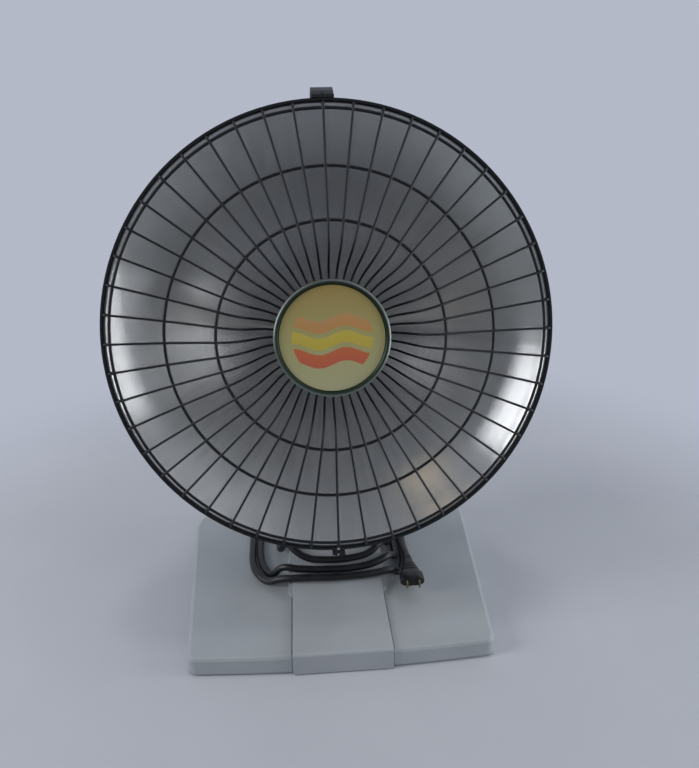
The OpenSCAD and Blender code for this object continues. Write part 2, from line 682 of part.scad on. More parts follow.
module base_shell() {
    color(grey) difference() {
        union() {
            difference() {
                base_form();
                translate([0, 0, -1]) linear_extrude(base_top - wall + 1) polygon(base_outline(wall));
            }
            for (p = boss_places, s = [-1, 1]) translate([s * p[0], p[1], plate_z + plate_t + touch])
                cylinder(r = 4, h = base_top - wall - plate_z - plate_t, $fn = 24);
        }
        for (p = boss_places, s = [-1, 1]) translate([s * p[0], p[1], plate_z])
            cylinder(r = 1.6, h = base_top - wall - plate_z - 2, $fn = 24);
        // seat of the front cover's lip
        translate([-cover_half - groove_w, panel_front - 5, -1])
            cube([2 * (cover_half + groove_w), 5 + cover_t + touch, base_top + 5]);
        // gaps along the sides of the front cover
        for (x = [-cover_half - groove_w, cover_half]) translate([x, panel_front, base_top - groove_h])
            cube([groove_w, neck_start + wall - panel_front, groove_h + 1]);
        // way for the upright, the switch and the wires under the neck
        translate([-34, switch_place[1] - 18, base_top - wall - 1])
            cube([68, upright_rear + 0.8 - switch_place[1] + 18, wall + 4]);
    }
}

module base_plate() {
    color(steel) difference() {
        translate([0, 0, plate_z]) linear_extrude(plate_t) polygon(base_outline(wall + seam));
        for (p = boss_places, s = [-1, 1]) translate([s * p[0], p[1], 0]) cylinder(r = 1.8, h = 20, center = true);
        for (x = [-14, 14]) translate([x, upright_rear - 22, 0]) cylinder(r = 2.6, h = 20, center = true);
        translate([switch_place[0], switch_place[1], 0]) cylinder(r = 8.2, h = 20, center = true);
    }
}

module rubber_feet() {
    color(cord_black) for (p = foot_places, s = [-1, 1]) translate([s * p[0], p[1], 0])
        difference() {
            cylinder(r1 = 8, r2 = 9, h = plate_z - touch);
            translate([0, 0, -1]) cylinder(r = 2.5, h = 2.2);
        }
}

module base_screws() {
    color(steel) for (p = boss_places, s = [-1, 1]) translate([s * p[0], p[1], 0]) {
        translate([0, 0, plate_z - 1.3 - touch]) cylinder(r = 3, h = 1.3);
        translate([0, 0, plate_z - 0.5]) cylinder(r = 1.5, h = 10);
    }
}

// The neck as a solid: side profile, front outline and rounded plan, each moved inwards
module neck_form(front_d, side_d, rear_d, start, z0, z1) {
    half = cover_half + neck_wider - side_d;
    front = [[half, 0], [half, base_top + 4], [half - 4, base_top + 40], [half - 10, neck_top + 50]];
    intersection() {
        rotate([90, 0, 90]) linear_extrude(160, center = true)
            polygon(concat([[start, z0]], [for (p = neck_line(front_d, z1)) if (p[0] > start + 0.5) p],
                [[neck_rear - rear_d, z1], [neck_rear - rear_d, z0]]));
        rotate([90, 0, 0]) linear_extrude(600, center = true) polygon(concat(front, mirrored(front)));
        linear_extrude(400) neck_plan(half, neck_rear - rear_d, neck_corner_r - rear_d);
    }
}
// Plan of the neck with round rear corners
module neck_plan(half, rear, r) {
    front = neck_start + cover_half + neck_wider - half;
    side = concat(arc([half - neck_start_r, front + neck_start_r], neck_start_r, -90, 0, 6),
        arc([half - r, rear - r], r, 0, 90, 8));
    polygon(concat(side, mirrored(side)));
}

neck_line_d = cover_t + touch;                          // the neck lies under the front cover
module neck_walls() {
    difference() {
        neck_form(neck_line_d, 0, 0, neck_start, base_top + touch, neck_top);
        neck_form(neck_line_d + wall, wall, wall, neck_start + wall, base_top - 4, neck_top - wall);
        // slot for the upright's ears
        translate([-ear_half - sheet_t - 2, neck_front + neck_line_d + wall, neck_top - 10])
            cube([2 * (ear_half + sheet_t + 2), neck_depth - neck_line_d - 2 * wall, 20]);
        for (x = [-screw_half, screw_half], z = screw_heights) translate([x, neck_rear, z]) rotate([90, 0, 0])
            cylinder(r = 1.8, h = 8, center = true);
    }
}

module neck_shell() {
    post_y = neck_front + neck_line_d + wall - 1;
    color(grey) {
        intersection() {
            neck_walls();
            translate([-100, sweep_y - 20, 0]) cube([200, split_y - sweep_y + 20, 400]);
        }
        // posts that the neck's screws go into
        for (x = [-screw_half, screw_half], z = screw_heights) translate([x, post_y, z]) rotate([-90, 0, 0])
            difference() {
                cylinder(r = 3.4, h = neck_rear - wall - touch - post_y);
                translate([0, 0, 4]) cylinder(r = 1.7, h = neck_depth);
            }
    }
}

// Outlet for the mains lead on the rear of the neck: the lead leaves it to the right
outlet_end = -10;
outlet_len = 24;
outlet_z = base_top + 17.5;
outlet_out = 17;
cord_y0 = neck_rear + 9.5;
module neck_rear_cover() {
    color(grey) difference() {
        union() {
            intersection() {
                neck_walls();
                translate([-100, split_y + touch, 0]) cube([200, 100, 400]);
            }
            translate([outlet_end - outlet_len, neck_rear - 1, outlet_z - 7]) cube([outlet_len, outlet_out + 1, 14]);
        }
        translate([outlet_end - 14, cord_y0, outlet_z]) rotate([0, 90, 0]) cylinder(r = 4.6, h = 20);
        // the lead's way in from the outlet
        translate([outlet_end - 16, neck_rear - 6, outlet_z - 4]) cube([8, 15, 8]);
    }
}

module neck_screws() {
    color(steel) for (x = [-screw_half, screw_half], z = screw_heights) translate([x, neck_rear + touch, z])
        rotate([-90, 0, 0]) {
            cylinder(r1 = 3, r2 = 2.2, h = 1.4);
            translate([0, 0, -10]) cylinder(r = 1.6, h = 10.5);
        }
}

module front_cover() {
    back = neck_line(cover_t, neck_top);
    front = neck_line(0, neck_top);
    lip = panel_front;
    lip_back = lip + cover_t;
    side = [[cover_half, 0], [cover_half, base_top + 4], [cover_half - 4, base_top + 40],
            [cover_half - 10, neck_top + 50]];
    color(grey) intersection() {
        rotate([90, 0, 90]) linear_extrude(160, center = true) polygon(concat(
            [[lip, skirt_bottom]], arc([lip + 3, panel_top - 3], 3, 180, 90, 5), front,
            [for (i = [len(back) - 1:-1:0]) back[i]],
            [[lip_back, base_top + touch], [lip_back, skirt_bottom]]));
        rotate([90, 0, 0]) linear_extrude(600, center = true) polygon(concat(side, mirrored(side)));
    }
}

module steel_upright() {
    foot_z = plate_z + plate_t + touch;
    front = neck_front + neck_line_d + wall + 1;
    ear_r = upright_rear - pivot_y;
    half = ear_half + sheet_t;
    color(steel) difference() {
        union() {
            translate([-half, upright_rear - sheet_t, foot_z])
                cube([2 * half, sheet_t, neck_top - 4 - foot_z]);
            translate([-half, upright_rear - 38, foot_z]) cube([2 * half, 38, sheet_t]);
            for (s = [0, 1]) mirror([s, 0, 0]) translate([ear_half, 0, 0]) rotate([90, 0, 90])
                linear_extrude(sheet_t) union() {
                    translate([pivot_y, pivot_z]) circle(ear_r);
                    translate([front, foot_z]) square([upright_rear - front, neck_top + 3 - foot_z]);
                    polygon([[pivot_y - ear_r, pivot_z], [pivot_y + ear_r, pivot_z],
                             [upright_rear, neck_top + 2], [front, neck_top + 2]]);
                }
        }
        translate([0, pivot_y, pivot_z]) rotate([0, 90, 0]) cylinder(r = pivot_r + running, h = 80, center = true);
        for (x = [-14, 14]) translate([x, upright_rear - 22, 0]) cylinder(r = 2.6, h = 20, center = true);
    }
}

module upright_bolts() {
    top = plate_z + plate_t + touch + sheet_t;
    color(steel) for (x = [-14, 14]) translate([x, upright_rear - 22, 0]) {
        translate([0, 0, top + touch]) cylinder(r = 4.5, h = 3, $fn = 6);
        translate([0, 0, plate_z]) cylinder(r = 2.5, h = top - plate_z + 1);
    }
}

module pivot_bolt() {
    out = ear_half + sheet_t;
    color(steel) translate([0, pivot_y, pivot_z]) rotate([0, 90, 0]) {
        translate([0, 0, -out - 8]) cylinder(r = pivot_r, h = 2 * out + 8.5);
        translate([0, 0, out + touch]) cylinder(r = pivot_r * 1.7, h = 4.5, $fn = 6);
    }
}

module pivot_nut() {
    out = ear_half + sheet_t;
    color(steel) translate([-out - touch, pivot_y, pivot_z]) rotate([0, -90, 0]) difference() {
        cylinder(r = pivot_r * 1.7, h = 5.5, $fn = 6);
        cylinder(r = pivot_r + running, h = 20, center = true);
    }
}

// Tip-over switch: the plunger is pressed flush by the floor and drops when the heater is lifted
stem_r = 4.5;
stem_h = 25;
collar_z = 14;
switch_h = 30;
module tip_switch_body() {
    z0 = plate_z + plate_t + touch;
    color(charcoal) translate([switch_place[0], switch_place[1], 0]) difference() {
        translate([-13, -13, z0]) cube([26, 26, switch_h]);
        translate([0, 0, z0 + 2]) cylinder(r = 8, h = switch_h - 4);
        translate([0, 0, -1]) cylinder(r = stem_r + running, h = z0 + 5);
    }
}

module tip_plunger() {
    color(ivory) translate([switch_place[0], switch_place[1], 0]) {
        cylinder(r1 = 6.5, r2 = 7.5, h = 2.2);
        cylinder(r = stem_r, h = stem_h);
        translate([0, 0, collar_z]) cylinder(r = 7, h = 2);
    }
}

spring_turns = 5;
spring_wire_r = 0.5;
spring_low = collar_z + 2 + spring_wire_r + 0.1;
spring_high = plate_z + plate_t + switch_h - 2 - spring_wire_r;
spring_path = [for (i = [0:spring_turns * 8]) let (a = i * 45)
    [switch_place[0] + 6 * cos(a), switch_place[1] + 6 * sin(a),
     spring_low + (spring_high - spring_low) * i / (spring_turns * 8)]];
module plunger_spring() {
    echo("least gap of the plunger's spring", least_gap(spring_path, spring_wire_r, 4));
    color(steel) tube(spring_path, spring_wire_r, 6, [0, 0, 1]);
}

module alarm_buzzer() {
    color(cord_black) translate([buzzer_place[0], buzzer_place[1], plate_z + plate_t + touch]) difference() {
        cylinder(r = 12, h = 9);
        translate([0, 0, 7]) cylinder(r = 2, h = 5);
    }
}

// ---- Mains lead ----

cord_turns = 3.28;                                     // turns round the neck
turn_rings = 24;
turn_y = 45;                                          // middle of the turns, front to back
turn_power = 0.58;                                    // how square the turns are
corner_power = 0.05;                                   // how much squarer they are at the right front
rest_z = base_top + cord_r + 0.15;                     // the lead's middle where it lies on the base
exit_z = outlet_z;
lead_lift = 2;                                      // between the lead and the sweep, where the tie is
plug_z = rest_z + 2 * cord_r + 3.9;
relief_len = 24;
// half extents of the turns after t turns: right, left, back and front
function reach_right(t) = 58 + 8.8 * t;
function reach_left(t) = 62.4 + 22.3 * (t - 0.75) - 6.8 * (t - 0.75) * (t - 1.75);
function reach_back(t) = cord_y0 - turn_y + 9 * t;
function reach_front(t) = 67.2 + 8.6 * t;
function rounded(c, p) = sign(c) * pow(abs(c), p);
// height of the lead's middle where it lies on the front cover's sweep, at y
function on_sweep(y) = sweep_c[1] - sqrt(pow(sweep_r - cord_r - lead_lift, 2) - pow(min(y - sweep_y, 57.4), 2));
function lead_at(t) = let (
    a = 90 - 360 * t, c = cos(a), s = sin(a),
    p = turn_power - corner_power * t * 2 * max(0, c) * max(0, -s),
    x = (c >= 0 ? reach_right(t) : reach_left(t)) * rounded(c, p),
    y = turn_y + (s >= 0 ? reach_back(t) : reach_front(t)) * rounded(s, p),
    over = (1 - smooth((abs(x) - 51) / 21)) * (1 - smooth((y - sweep_y - 50) / 70)),
    down = smooth(t / 0.22), up = smooth((t - cord_turns + 0.16) / 0.13),
    inward = smooth((t - cord_turns + 0.1) / 0.1))
    [x - 9 * inward, y, (1 - down) * exit_z + down * rest_z + over * (on_sweep(y) - rest_z) + up * (plug_z - rest_z)];
// the first ring of the turns that lies clear of the strain relief
lead_from = 0.025;
lead_steps = round(turn_rings * cord_turns);
turns = [for (i = [0:lead_steps]) lead_at(lead_from + (cord_turns - lead_from) * i / lead_steps)];
lead_start = [outlet_end + relief_len + 0.1, cord_y0, exit_z];
lead_end = turns[lead_steps] + [1, -22.5, 0];
lead_path = concat([lead_start, lead_start + [2 * cord_r, 0, 0]],
    [for (p = turns) if (p[0] > lead_start[0] + 3 * cord_r || p[1] < cord_y0 - 2 || norm(p - lead_start) > 60) p],
    [lead_end + [0, 2 * cord_r, 0], lead_end]);

module power_cord() {
    echo("length of the mains lead", path_length(lead_path));
    echo("least gap of the mains lead", least_gap(lead_path, cord_r, 3));
    echo("end of the mains lead", lead_end);
    color(cord_black) tube(lead_path, cord_r, 6, [0, 0, 1]);
}

module strain_relief() {
    color(cord_black) translate([outlet_end - 13, cord_y0, outlet_z]) rotate([0, 90, 0]) {
        cylinder(r = 4.5, h = 13 + touch);
        translate([0, 0, 13]) cylinder(r = 6.5, h = 2);
        translate([0, 0, 13]) cylinder(r1 = 6, r2 = cord_r + 0.6, h = relief_len);
    }
}

module cord_tie() {
    a = turns[11];
    d = turns[12] - a;
    color(cord_black) translate(a + 0.35 * d) rotate([0, acos(d[2] / norm(d)), atan2(d[1], d[0])]) difference() {
        cylinder(r = cord_r + 0.9, h = 7, center = true);
        cylinder(r = cord_r + 0.05, h = 9, center = true);
    }
}

plug_len = 34;
module plug_body() {
    color(cord_black) translate(lead_end) rotate([90, 0, 0]) hull() {
        translate([0, 0, touch]) cylinder(r = cord_r + 1.2, h = 2, $fn = 32);
        translate([-12.5, -6, plug_len - 12]) cube([25, 12, 12]);
    }
}

module plug_blades() {
    color(brass) translate(lead_end + [0, -plug_len - touch, 0]) for (s = [-1, 1])
        translate([s * 6.35 - 0.75, -16, -3.2]) difference() {
            cube([1.5, 16, 6.4]);
            translate([0, 4, 3.2]) rotate([0, 90, 0]) cylinder(r = 1.6, h = 6, center = true);
        }
}

base_shell();
base_plate();
rubber_feet();
base_screws();
front_cover();
neck_shell();
neck_rear_cover();
neck_screws();
steel_upright();
upright_bolts();
pivot_bolt();
pivot_nut();
tip_switch_body();
plunger_spring();
tip_plunger();
alarm_buzzer();
strain_relief();
power_cord();
cord_tie();
plug_body();
plug_blades();
reflector();
back_shell();
rear_cover();
cover_screws();
rim_band();
rim_band_screw();
guard_rim_ring();
guard_ring_outer();
guard_ring_middle();
guard_ring_inner();
guard_spokes();
guard_hub();
badge_post();
badge_bezel();
badge_disc();
mounting_strap();
element_bracket();
element_core();
element_coil();
element_terminals();
element_leads();
terminal_block();
thermostat_body();
thermal_cutoff();
carry_handle();
handle_screws();
tilt_bracket();
bracket_spacers();
bracket_bolts();
friction_washers();
thermostat_shaft();
thermostat_knob();
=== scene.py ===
# %% [markdown]
# # Dressing a parabolic heater
# A parabolic heater is a spun aluminium dish with a short glowing element at its focus, a wire guard
# in front of it and a moulded stand below. The CAD frame already holds every part at its true size
# and place. This lesson gives each part the surface of the real one, and remakes the few parts whose
# shape is soft or wiry enough to deserve more than plain solids.
#
# The frame is loaded first, so that every later step can ask it where things are.

# %% Load the frame
import bpy
import math
from mathutils import Matrix, Vector


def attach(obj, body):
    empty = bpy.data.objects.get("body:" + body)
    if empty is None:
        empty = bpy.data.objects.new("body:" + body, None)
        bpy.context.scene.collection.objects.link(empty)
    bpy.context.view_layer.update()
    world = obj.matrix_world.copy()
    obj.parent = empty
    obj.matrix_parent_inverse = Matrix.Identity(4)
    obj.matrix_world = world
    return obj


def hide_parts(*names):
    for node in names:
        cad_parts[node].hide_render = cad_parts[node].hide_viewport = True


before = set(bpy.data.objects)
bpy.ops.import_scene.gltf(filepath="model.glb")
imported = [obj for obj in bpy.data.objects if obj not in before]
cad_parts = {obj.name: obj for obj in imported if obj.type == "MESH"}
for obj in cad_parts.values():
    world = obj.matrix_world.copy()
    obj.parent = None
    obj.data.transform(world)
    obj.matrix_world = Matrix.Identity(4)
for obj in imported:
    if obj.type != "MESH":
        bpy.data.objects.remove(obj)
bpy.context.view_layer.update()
MM = 0.001

# %% [markdown]
# ## The camera
# The dish is seen a little from the left and from above, from about two thirds of a metre away. A
# camera looks along its own -Z, with +Y up, so its matrix is built from three directions measured on
# the picture: to the right, down, and into the scene. Typing a matrix is less handy than tracking a
# target, but it keeps the slight roll that a hand-held camera has.

# %% Camera
right = Vector((0.99711, -0.07402, -0.01711))
down = Vector((-0.04241, -0.35544, -0.93374))
ahead = Vector((0.06303, 0.93176, -0.35755))

SENSOR = 36                            # mm, across the picture's longer side
FOCAL_PIXELS, FRAME_PIXELS = 700, 768  # focal length and longer side, in the picture's pixels

bpy.ops.object.camera_add(location=(-0.025, -0.663, 0.491))
camera = bpy.context.object
turn = Matrix((right, -down, -ahead)).transposed()
camera.matrix_world = Matrix.Translation(camera.location) @ turn.to_4x4()
camera.data.sensor_width = SENSOR
camera.data.lens = SENSOR * FOCAL_PIXELS / FRAME_PIXELS
bpy.context.scene.camera = camera
print("lens in mm:", round(camera.data.lens, 2))

# %% [markdown]
# ## The mains lead
# The lead is a round two-core PVC cable, about 7.5 mm thick and 1.8 m long, stiff enough to spring
# back from a fold. It leaves the back of the stand through a strain relief, goes a little over three
# times round the foot of the neck, climbing over the ramp in front, and its plug lies on the winding.
#
# A cable is best made from its centre line. The line here is a formula: a squarish loop whose four
# reaches grow with each turn, and whose height follows the ramp where it crosses it. A smooth Bezier
# curve goes through the points, and the curve's bevel gives it its thickness.

# %% The lead's centre line
def smooth(t):
    """A soft step from 0 to 1, for t from 0 to 1."""
    c = min(1.0, max(0.0, t))
    return c * c * (3 - 2 * c)


CORD_R = 3.75                          # the lead's radius, mm
TURNS = 3.28                           # turns round the neck
TURN_Y = 45.0                          # middle of the turns, front to back
RAMP_Y, RAMP_Z, RAMP_R = -71.0, 99.03, 75.0   # middle and radius of the hollow ramp before the neck
RAMP_DEPTH, RAMP_GAP = 57.4, 2         # its foot to its top, and the lead's distance from it
EXIT = Vector((14.1, 109.5, 38.5))     # the lead leaves its strain relief here
REST_Z, PLUG_Z = 24.9, 36.3            # its middle on the base, and on the turns below the plug
RIGHT, LEFT, FRONT = 58, 62.4, 67.2    # the loop's reaches at its start, and what a turn adds
RIGHT_ADDS, LEFT_ADDS, FRONT_ADDS, BACK_ADDS, LEFT_SLOWS = 8.8, 22.3, 8.6, 9, 6.8
SQUARENESS, SQUARER = 0.58, 0.05       # 1 would be an ellipse; the right front corners grow squarer
FALL = 0.22                            # turns in which it comes down from the exit
CLIMB, CLIMBED, INWARD = 0.16, 0.13, 0.1   # turns before the end, as it climbs and turns in
PLUG_INWARD = 9                        # mm
OVER_X, FADE_X, OVER_Y, FADE_Y = 51, 21, 50, 70   # where the ramp lifts the lead, and how softly it ends
FIRST, KNOTS_A_TURN = 0.025, 24


def on_ramp(y):
    """Height of the lead's middle where it lies on the ramp."""
    return RAMP_Z - math.sqrt((RAMP_R - CORD_R - RAMP_GAP) ** 2 - min(y - RAMP_Y, RAMP_DEPTH) ** 2)


def squared(c, power):
    """A sine or cosine, pushed out towards a square."""
    return math.copysign(abs(c) ** power, c)


def lead_at(t):
    """A point of the winding after t turns, in mm."""
    a = math.radians(90 - 360 * t)
    c, s = math.cos(a), math.sin(a)
    power = SQUARENESS - SQUARER * t * 2 * max(0, c) * max(0, -s)
    to_right = RIGHT + RIGHT_ADDS * t
    to_left = LEFT + LEFT_ADDS * (t - 0.75) - LEFT_SLOWS * (t - 0.75) * (t - 1.75)
    to_back = EXIT.y - TURN_Y + BACK_ADDS * t
    to_front = FRONT + FRONT_ADDS * t
    x = (to_right if c >= 0 else to_left) * squared(c, power)
    y = TURN_Y + (to_back if s >= 0 else to_front) * squared(s, power)
    beside, behind = smooth((abs(x) - OVER_X) / FADE_X), smooth((y - RAMP_Y - OVER_Y) / FADE_Y)
    over = (1 - beside) * (1 - behind)
    fall = smooth(t / FALL)
    climb = smooth((t - TURNS + CLIMB) / CLIMBED)
    inward = smooth((t - TURNS + INWARD) / INWARD)
    z = (1 - fall) * EXIT.z + fall * REST_Z + over * (on_ramp(y) - REST_Z) + climb * (PLUG_Z - REST_Z)
    return Vector((x - PLUG_INWARD * inward, y, z))


knots = round(KNOTS_A_TURN * TURNS)
winding = [lead_at(FIRST + (TURNS - FIRST) * i / knots) for i in range(knots + 1)]
lead_end = winding[-1] + Vector((1, -22.5, 0))
route = [EXIT, EXIT + Vector((2 * CORD_R, 0, 0))]
# the straight stretch at the exit takes the place of the winding's first points
route += [p for p in winding if p.x > EXIT.x + 3 * CORD_R or p.y < EXIT.y - 2 or (p - EXIT).length > 60]
route += [lead_end + Vector((0, 2 * CORD_R, 0)), lead_end]

# %% The lead
line = bpy.data.curves.new("mains_lead", "CURVE")
line.dimensions = "3D"
line.bevel_depth = 1.0                 # times each knot's radius, which keeps the curve's own box true
line.bevel_resolution = 5
line.resolution_u = 5
line.use_fill_caps = True
spline = line.splines.new("BEZIER")
spline.bezier_points.add(len(route) - 1)
for knot, p in zip(spline.bezier_points, route):
    knot.co = p * MM
    knot.radius = CORD_R * MM
    knot.handle_left_type = knot.handle_right_type = "AUTO"
lead = bpy.data.objects.new("mains_lead", line)
bpy.context.collection.objects.link(lead)
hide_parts("power_cord")
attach(lead, "stand")
print("knots of the lead:", len(spline.bezier_points))

# %% [markdown]
# ## Where the dish is
# The dish is tilted back 11.5 degrees about a bolt at the top of the neck. Patterns that run round
# the dish, and pieces that stand on it, need its own axis. One matrix takes a point of the dish, with
# z along its axis, to its place in the room. A Mapping node of the kind Texture does the reverse
# for materials: it undoes the same place and turn.

# %% The dish's own axis
TILT = math.radians(11.5)
PIVOT = Vector((0, 0.0840, 0.2777))
PIVOT_BACK = 0.151913                  # from the bolt forward to the rim's plane
lean = Matrix.Rotation(math.pi / 2 - TILT, 4, "X")
on_dish = Matrix.Translation(PIVOT) @ lean @ Matrix.Translation((0, 0, PIVOT_BACK))
print("the rim's middle:", [round(c, 4) for c in on_dish.translation])

# %% [markdown]
# ## The guard's spokes
# Each spoke is one piece of steel wire, 2.2 mm thick, bent in a press: it climbs from the rim to the
# guard's crown in one long curve and then dives to the hub behind the badge. The bends are soft, so
# straight CAD stretches look wrong close by. The wire is drawn as a curve through closely spaced
# points, made a mesh once, and 47 copies are turned round the dish's axis.

# %% One spoke's line
SPOKE_R, RING_R = 1.1, 1.4             # the wires' radii, mm
OUTER_RING, MIDDLE_RING, INNER_RING = 194.0, 146.0, 100.0
CROWN_R, CROWN_H, DIVE, HUB_H = 93.0, 23.0, 36.0, -10.0
EDGE_H = RING_R + SPOKE_R + 0.03       # the spokes lie on the outer ring
SPOKE_END, RIM_RING_Z = 198.57, -6.47
SPOKE_START, DIVE_STEP = 44, 4.1       # first radius and the points' distance in the dive
SPOKES = 48


def spoke_height(r):
    """Height of a spoke's middle in front of the outer ring, at radius r, in mm."""
    if r >= CROWN_R:
        rest = max(0.0, 1 - (r - CROWN_R) / (OUTER_RING - CROWN_R))
        return EDGE_H + (CROWN_H - EDGE_H) * rest ** 1.9
    return CROWN_H - (CROWN_H - HUB_H) * smooth(min(1.0, (CROWN_R - r) / DIVE) ** 1.5)


reach = [SPOKE_START + DIVE_STEP * i for i in range(12)]
reach += [CROWN_R + (OUTER_RING - CROWN_R) * i / 12 for i in range(13)]
spoke_line = [(r, 0, spoke_height(r)) for r in reach]
# at the rim the wire turns back over the edge: (inward, back) from the corner, mm
rim_bend = [(2.6, 0.05), (1.35, 0.3), (0.45, 1.1), (0.05, 2.3), (0, 4.1)]
spoke_line += [(SPOKE_END - inward, 0, EDGE_H - back) for inward, back in rim_bend]
spoke_line.append((SPOKE_END, 0, RIM_RING_Z - 0.6))
print("points on a spoke:", len(spoke_line))

# %% The spokes
def deselect():
    """Deselect everything, because an operator acts on all that is selected."""
    bpy.ops.object.select_all(action="DESELECT")


def wire(name, line, radius_mm):
    """A round wire along a line in mm, as a mesh object."""
    deselect()
    curve = bpy.data.curves.new(name, "CURVE")
    curve.dimensions = "3D"
    curve.bevel_depth = radius_mm * MM
    curve.bevel_resolution = 3             # ten sides
    curve.use_fill_caps = True
    path = curve.splines.new("POLY")
    path.points.add(len(line) - 1)
    for knot, p in zip(path.points, line):
        knot.co = (*(Vector(p) * MM), 1)
    piece = bpy.data.objects.new(name, curve)
    bpy.context.collection.objects.link(piece)
    bpy.context.view_layer.objects.active = piece
    piece.select_set(True)
    bpy.ops.object.convert(target="MESH")
    return bpy.context.object


def repeated(piece, places):
    """Copies of a piece at each place, each with its own mesh, joined into one object at the origin."""
    copies = []
    for place in places:
        copy = piece.copy()
        copy.data = piece.data.copy()
        copy.data.transform(place)
        bpy.context.collection.objects.link(copy)
        copies.append(copy)
    name = piece.name
    bpy.data.objects.remove(piece)
    deselect()
    for copy in copies:
        copy.select_set(True)
    bpy.context.view_layer.objects.active = copies[0]
    bpy.ops.object.join()
    whole = bpy.context.object
    whole.name = name
    bpy.ops.object.shade_smooth_by_angle(angle=math.radians(50))
    return whole


quarter = Matrix.Rotation(math.pi / 2, 4, "Z")
round_dish = [on_dish @ Matrix.Rotation(2 * math.pi * i / SPOKES, 4, "Z") @ quarter
              for i in range(SPOKES)]
spokes = repeated(wire("spoke_wires", spoke_line, SPOKE_R), round_dish)
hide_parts("guard_spokes")
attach(spokes, "dish")
print("spokes:", SPOKES, "triangles:", sum(len(f.vertices) - 2 for f in spokes.data.polygons))

# %% [markdown]
# ## Weld beads
# Where a spoke crosses a ring the two wires are pressed together and welded by a current. The metal
# sinks in and leaves a small flat bead on both sides. One bead is an icosphere squeezed flat, and it
# is copied to every crossing. With 192 of them, each has only 80 faces.

# %% Weld beads
deselect()
bpy.ops.mesh.primitive_ico_sphere_add(subdivisions=2, radius=MM)
bead = bpy.context.object
bead.name = "weld_beads"
bead.data.transform(Matrix.Diagonal((2.0, 1.75, 0.85, 1)))   # half its length, width and height, mm
bead_places = []
for place in round_dish:
    for r in (OUTER_RING, MIDDLE_RING, INNER_RING):
        slope = (spoke_height(r + 1) - spoke_height(r - 1)) / 2 if r < OUTER_RING else 0.0
        below = SPOKE_R * math.sqrt(1 + slope * slope)
        bead_places.append(place @ Matrix.Translation(Vector((r, 0, spoke_height(r) - below)) * MM)
                           @ Matrix.Rotation(-math.atan(slope), 4, "Y"))
    bead_places.append(place @ Matrix.Translation(Vector((SPOKE_END + SPOKE_R, 0, RIM_RING_Z)) * MM)
                       @ Matrix.Rotation(math.pi / 2, 4, "Y"))
beads = repeated(bead, bead_places)
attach(beads, "dish")
print("beads:", len(bead_places))

# %% [markdown]
# ## Strain relief and plug
# Both are PVC moulded onto the lead. The strain relief is a tapered sleeve with deep slots, which
# lets it bend in a long curve. It is made as on a lathe: a circle is extruded along the lead, and
# each new ring is resized to the next radius. The plug starts as a flat rounded rectangle and is
# extruded in the same way, wider from step to step, with three finger ridges before the shoulder.

# %% A helper for both
def drawn_out(name, rings, place):
    """Extrude the active face along Z through rings (height, half width, half depth), in mm."""
    bpy.ops.object.mode_set(mode="EDIT")
    bpy.ops.mesh.select_all(action="SELECT")
    height, wide, deep = rings[0]
    bpy.ops.transform.resize(value=(wide, deep, 1), center_override=(0, 0, 0))
    for new_height, new_wide, new_deep in rings[1:]:
        rise = (0, 0, (new_height - height) * MM)
        bpy.ops.mesh.extrude_region_move(TRANSFORM_OT_translate={"value": rise})
        bpy.ops.transform.resize(value=(new_wide / wide, new_deep / deep, 1),
                                 center_override=(0, 0, new_height * MM))
        height, wide, deep = new_height, new_wide, new_deep
    bpy.ops.mesh.select_all(action="SELECT")
    bpy.ops.mesh.normals_make_consistent(inside=False)
    bpy.ops.object.mode_set(mode="OBJECT")
    piece = bpy.context.object
    piece.name = name
    piece.data.transform(place)
    bpy.ops.object.shade_smooth_by_angle(angle=math.radians(40))
    return piece


# %% The strain relief
deselect()
bpy.ops.mesh.primitive_circle_add(vertices=32, radius=MM, fill_type="NGON")
RIBS, PITCH, SLEEVE = 7, 2.6, 24       # ribs, mm from one to the next, and the sleeve's length, mm
SLOT_R, RIB_R, TAPER = CORD_R + 0.35, 5.45, 0.15
# heights and radii, mm: the collar in the wall, its flange, the ribs and the tip
rings = [(-13, 4.4), (0, 4.4), (0.01, 6.2), (0.3, 6.5), (1.7, 6.5), (2, 6.2), (2.01, 5.6), (4, 5.5)]
for i in range(RIBS):
    start, outside = 4 + PITCH * i, RIB_R - TAPER * i
    rings += [(start + 0.05, SLOT_R), (start + 1.15, SLOT_R), (start + 1.2, outside - 0.25),
              (start + 1.45, outside), (start + 2.35, outside), (start + PITCH, outside - 0.25)]
rings += [(SLEEVE - 0.4, 4.3), (SLEEVE, 4.0)]
along_x = Matrix.Translation((EXIT - Vector((SLEEVE, 0, 0))) * MM) @ Matrix.Rotation(math.pi / 2, 4, "Y")
relief = drawn_out("ribbed_strain_relief", [(height, r, r) for height, r in rings], along_x)
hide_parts("strain_relief")
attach(relief, "stand")
print("rings in the strain relief:", len(rings))

# %% The plug
deselect()
bpy.ops.mesh.primitive_plane_add(size=2 * MM)
bpy.ops.object.mode_set(mode="EDIT")
bpy.ops.mesh.bevel(offset=0.7 * MM, segments=5, affect="VERTICES")
bpy.ops.object.mode_set(mode="OBJECT")
FINGER_RIDGES, RIDGE_PITCH, RIDGE_SPREAD = 3, 4, 1.15
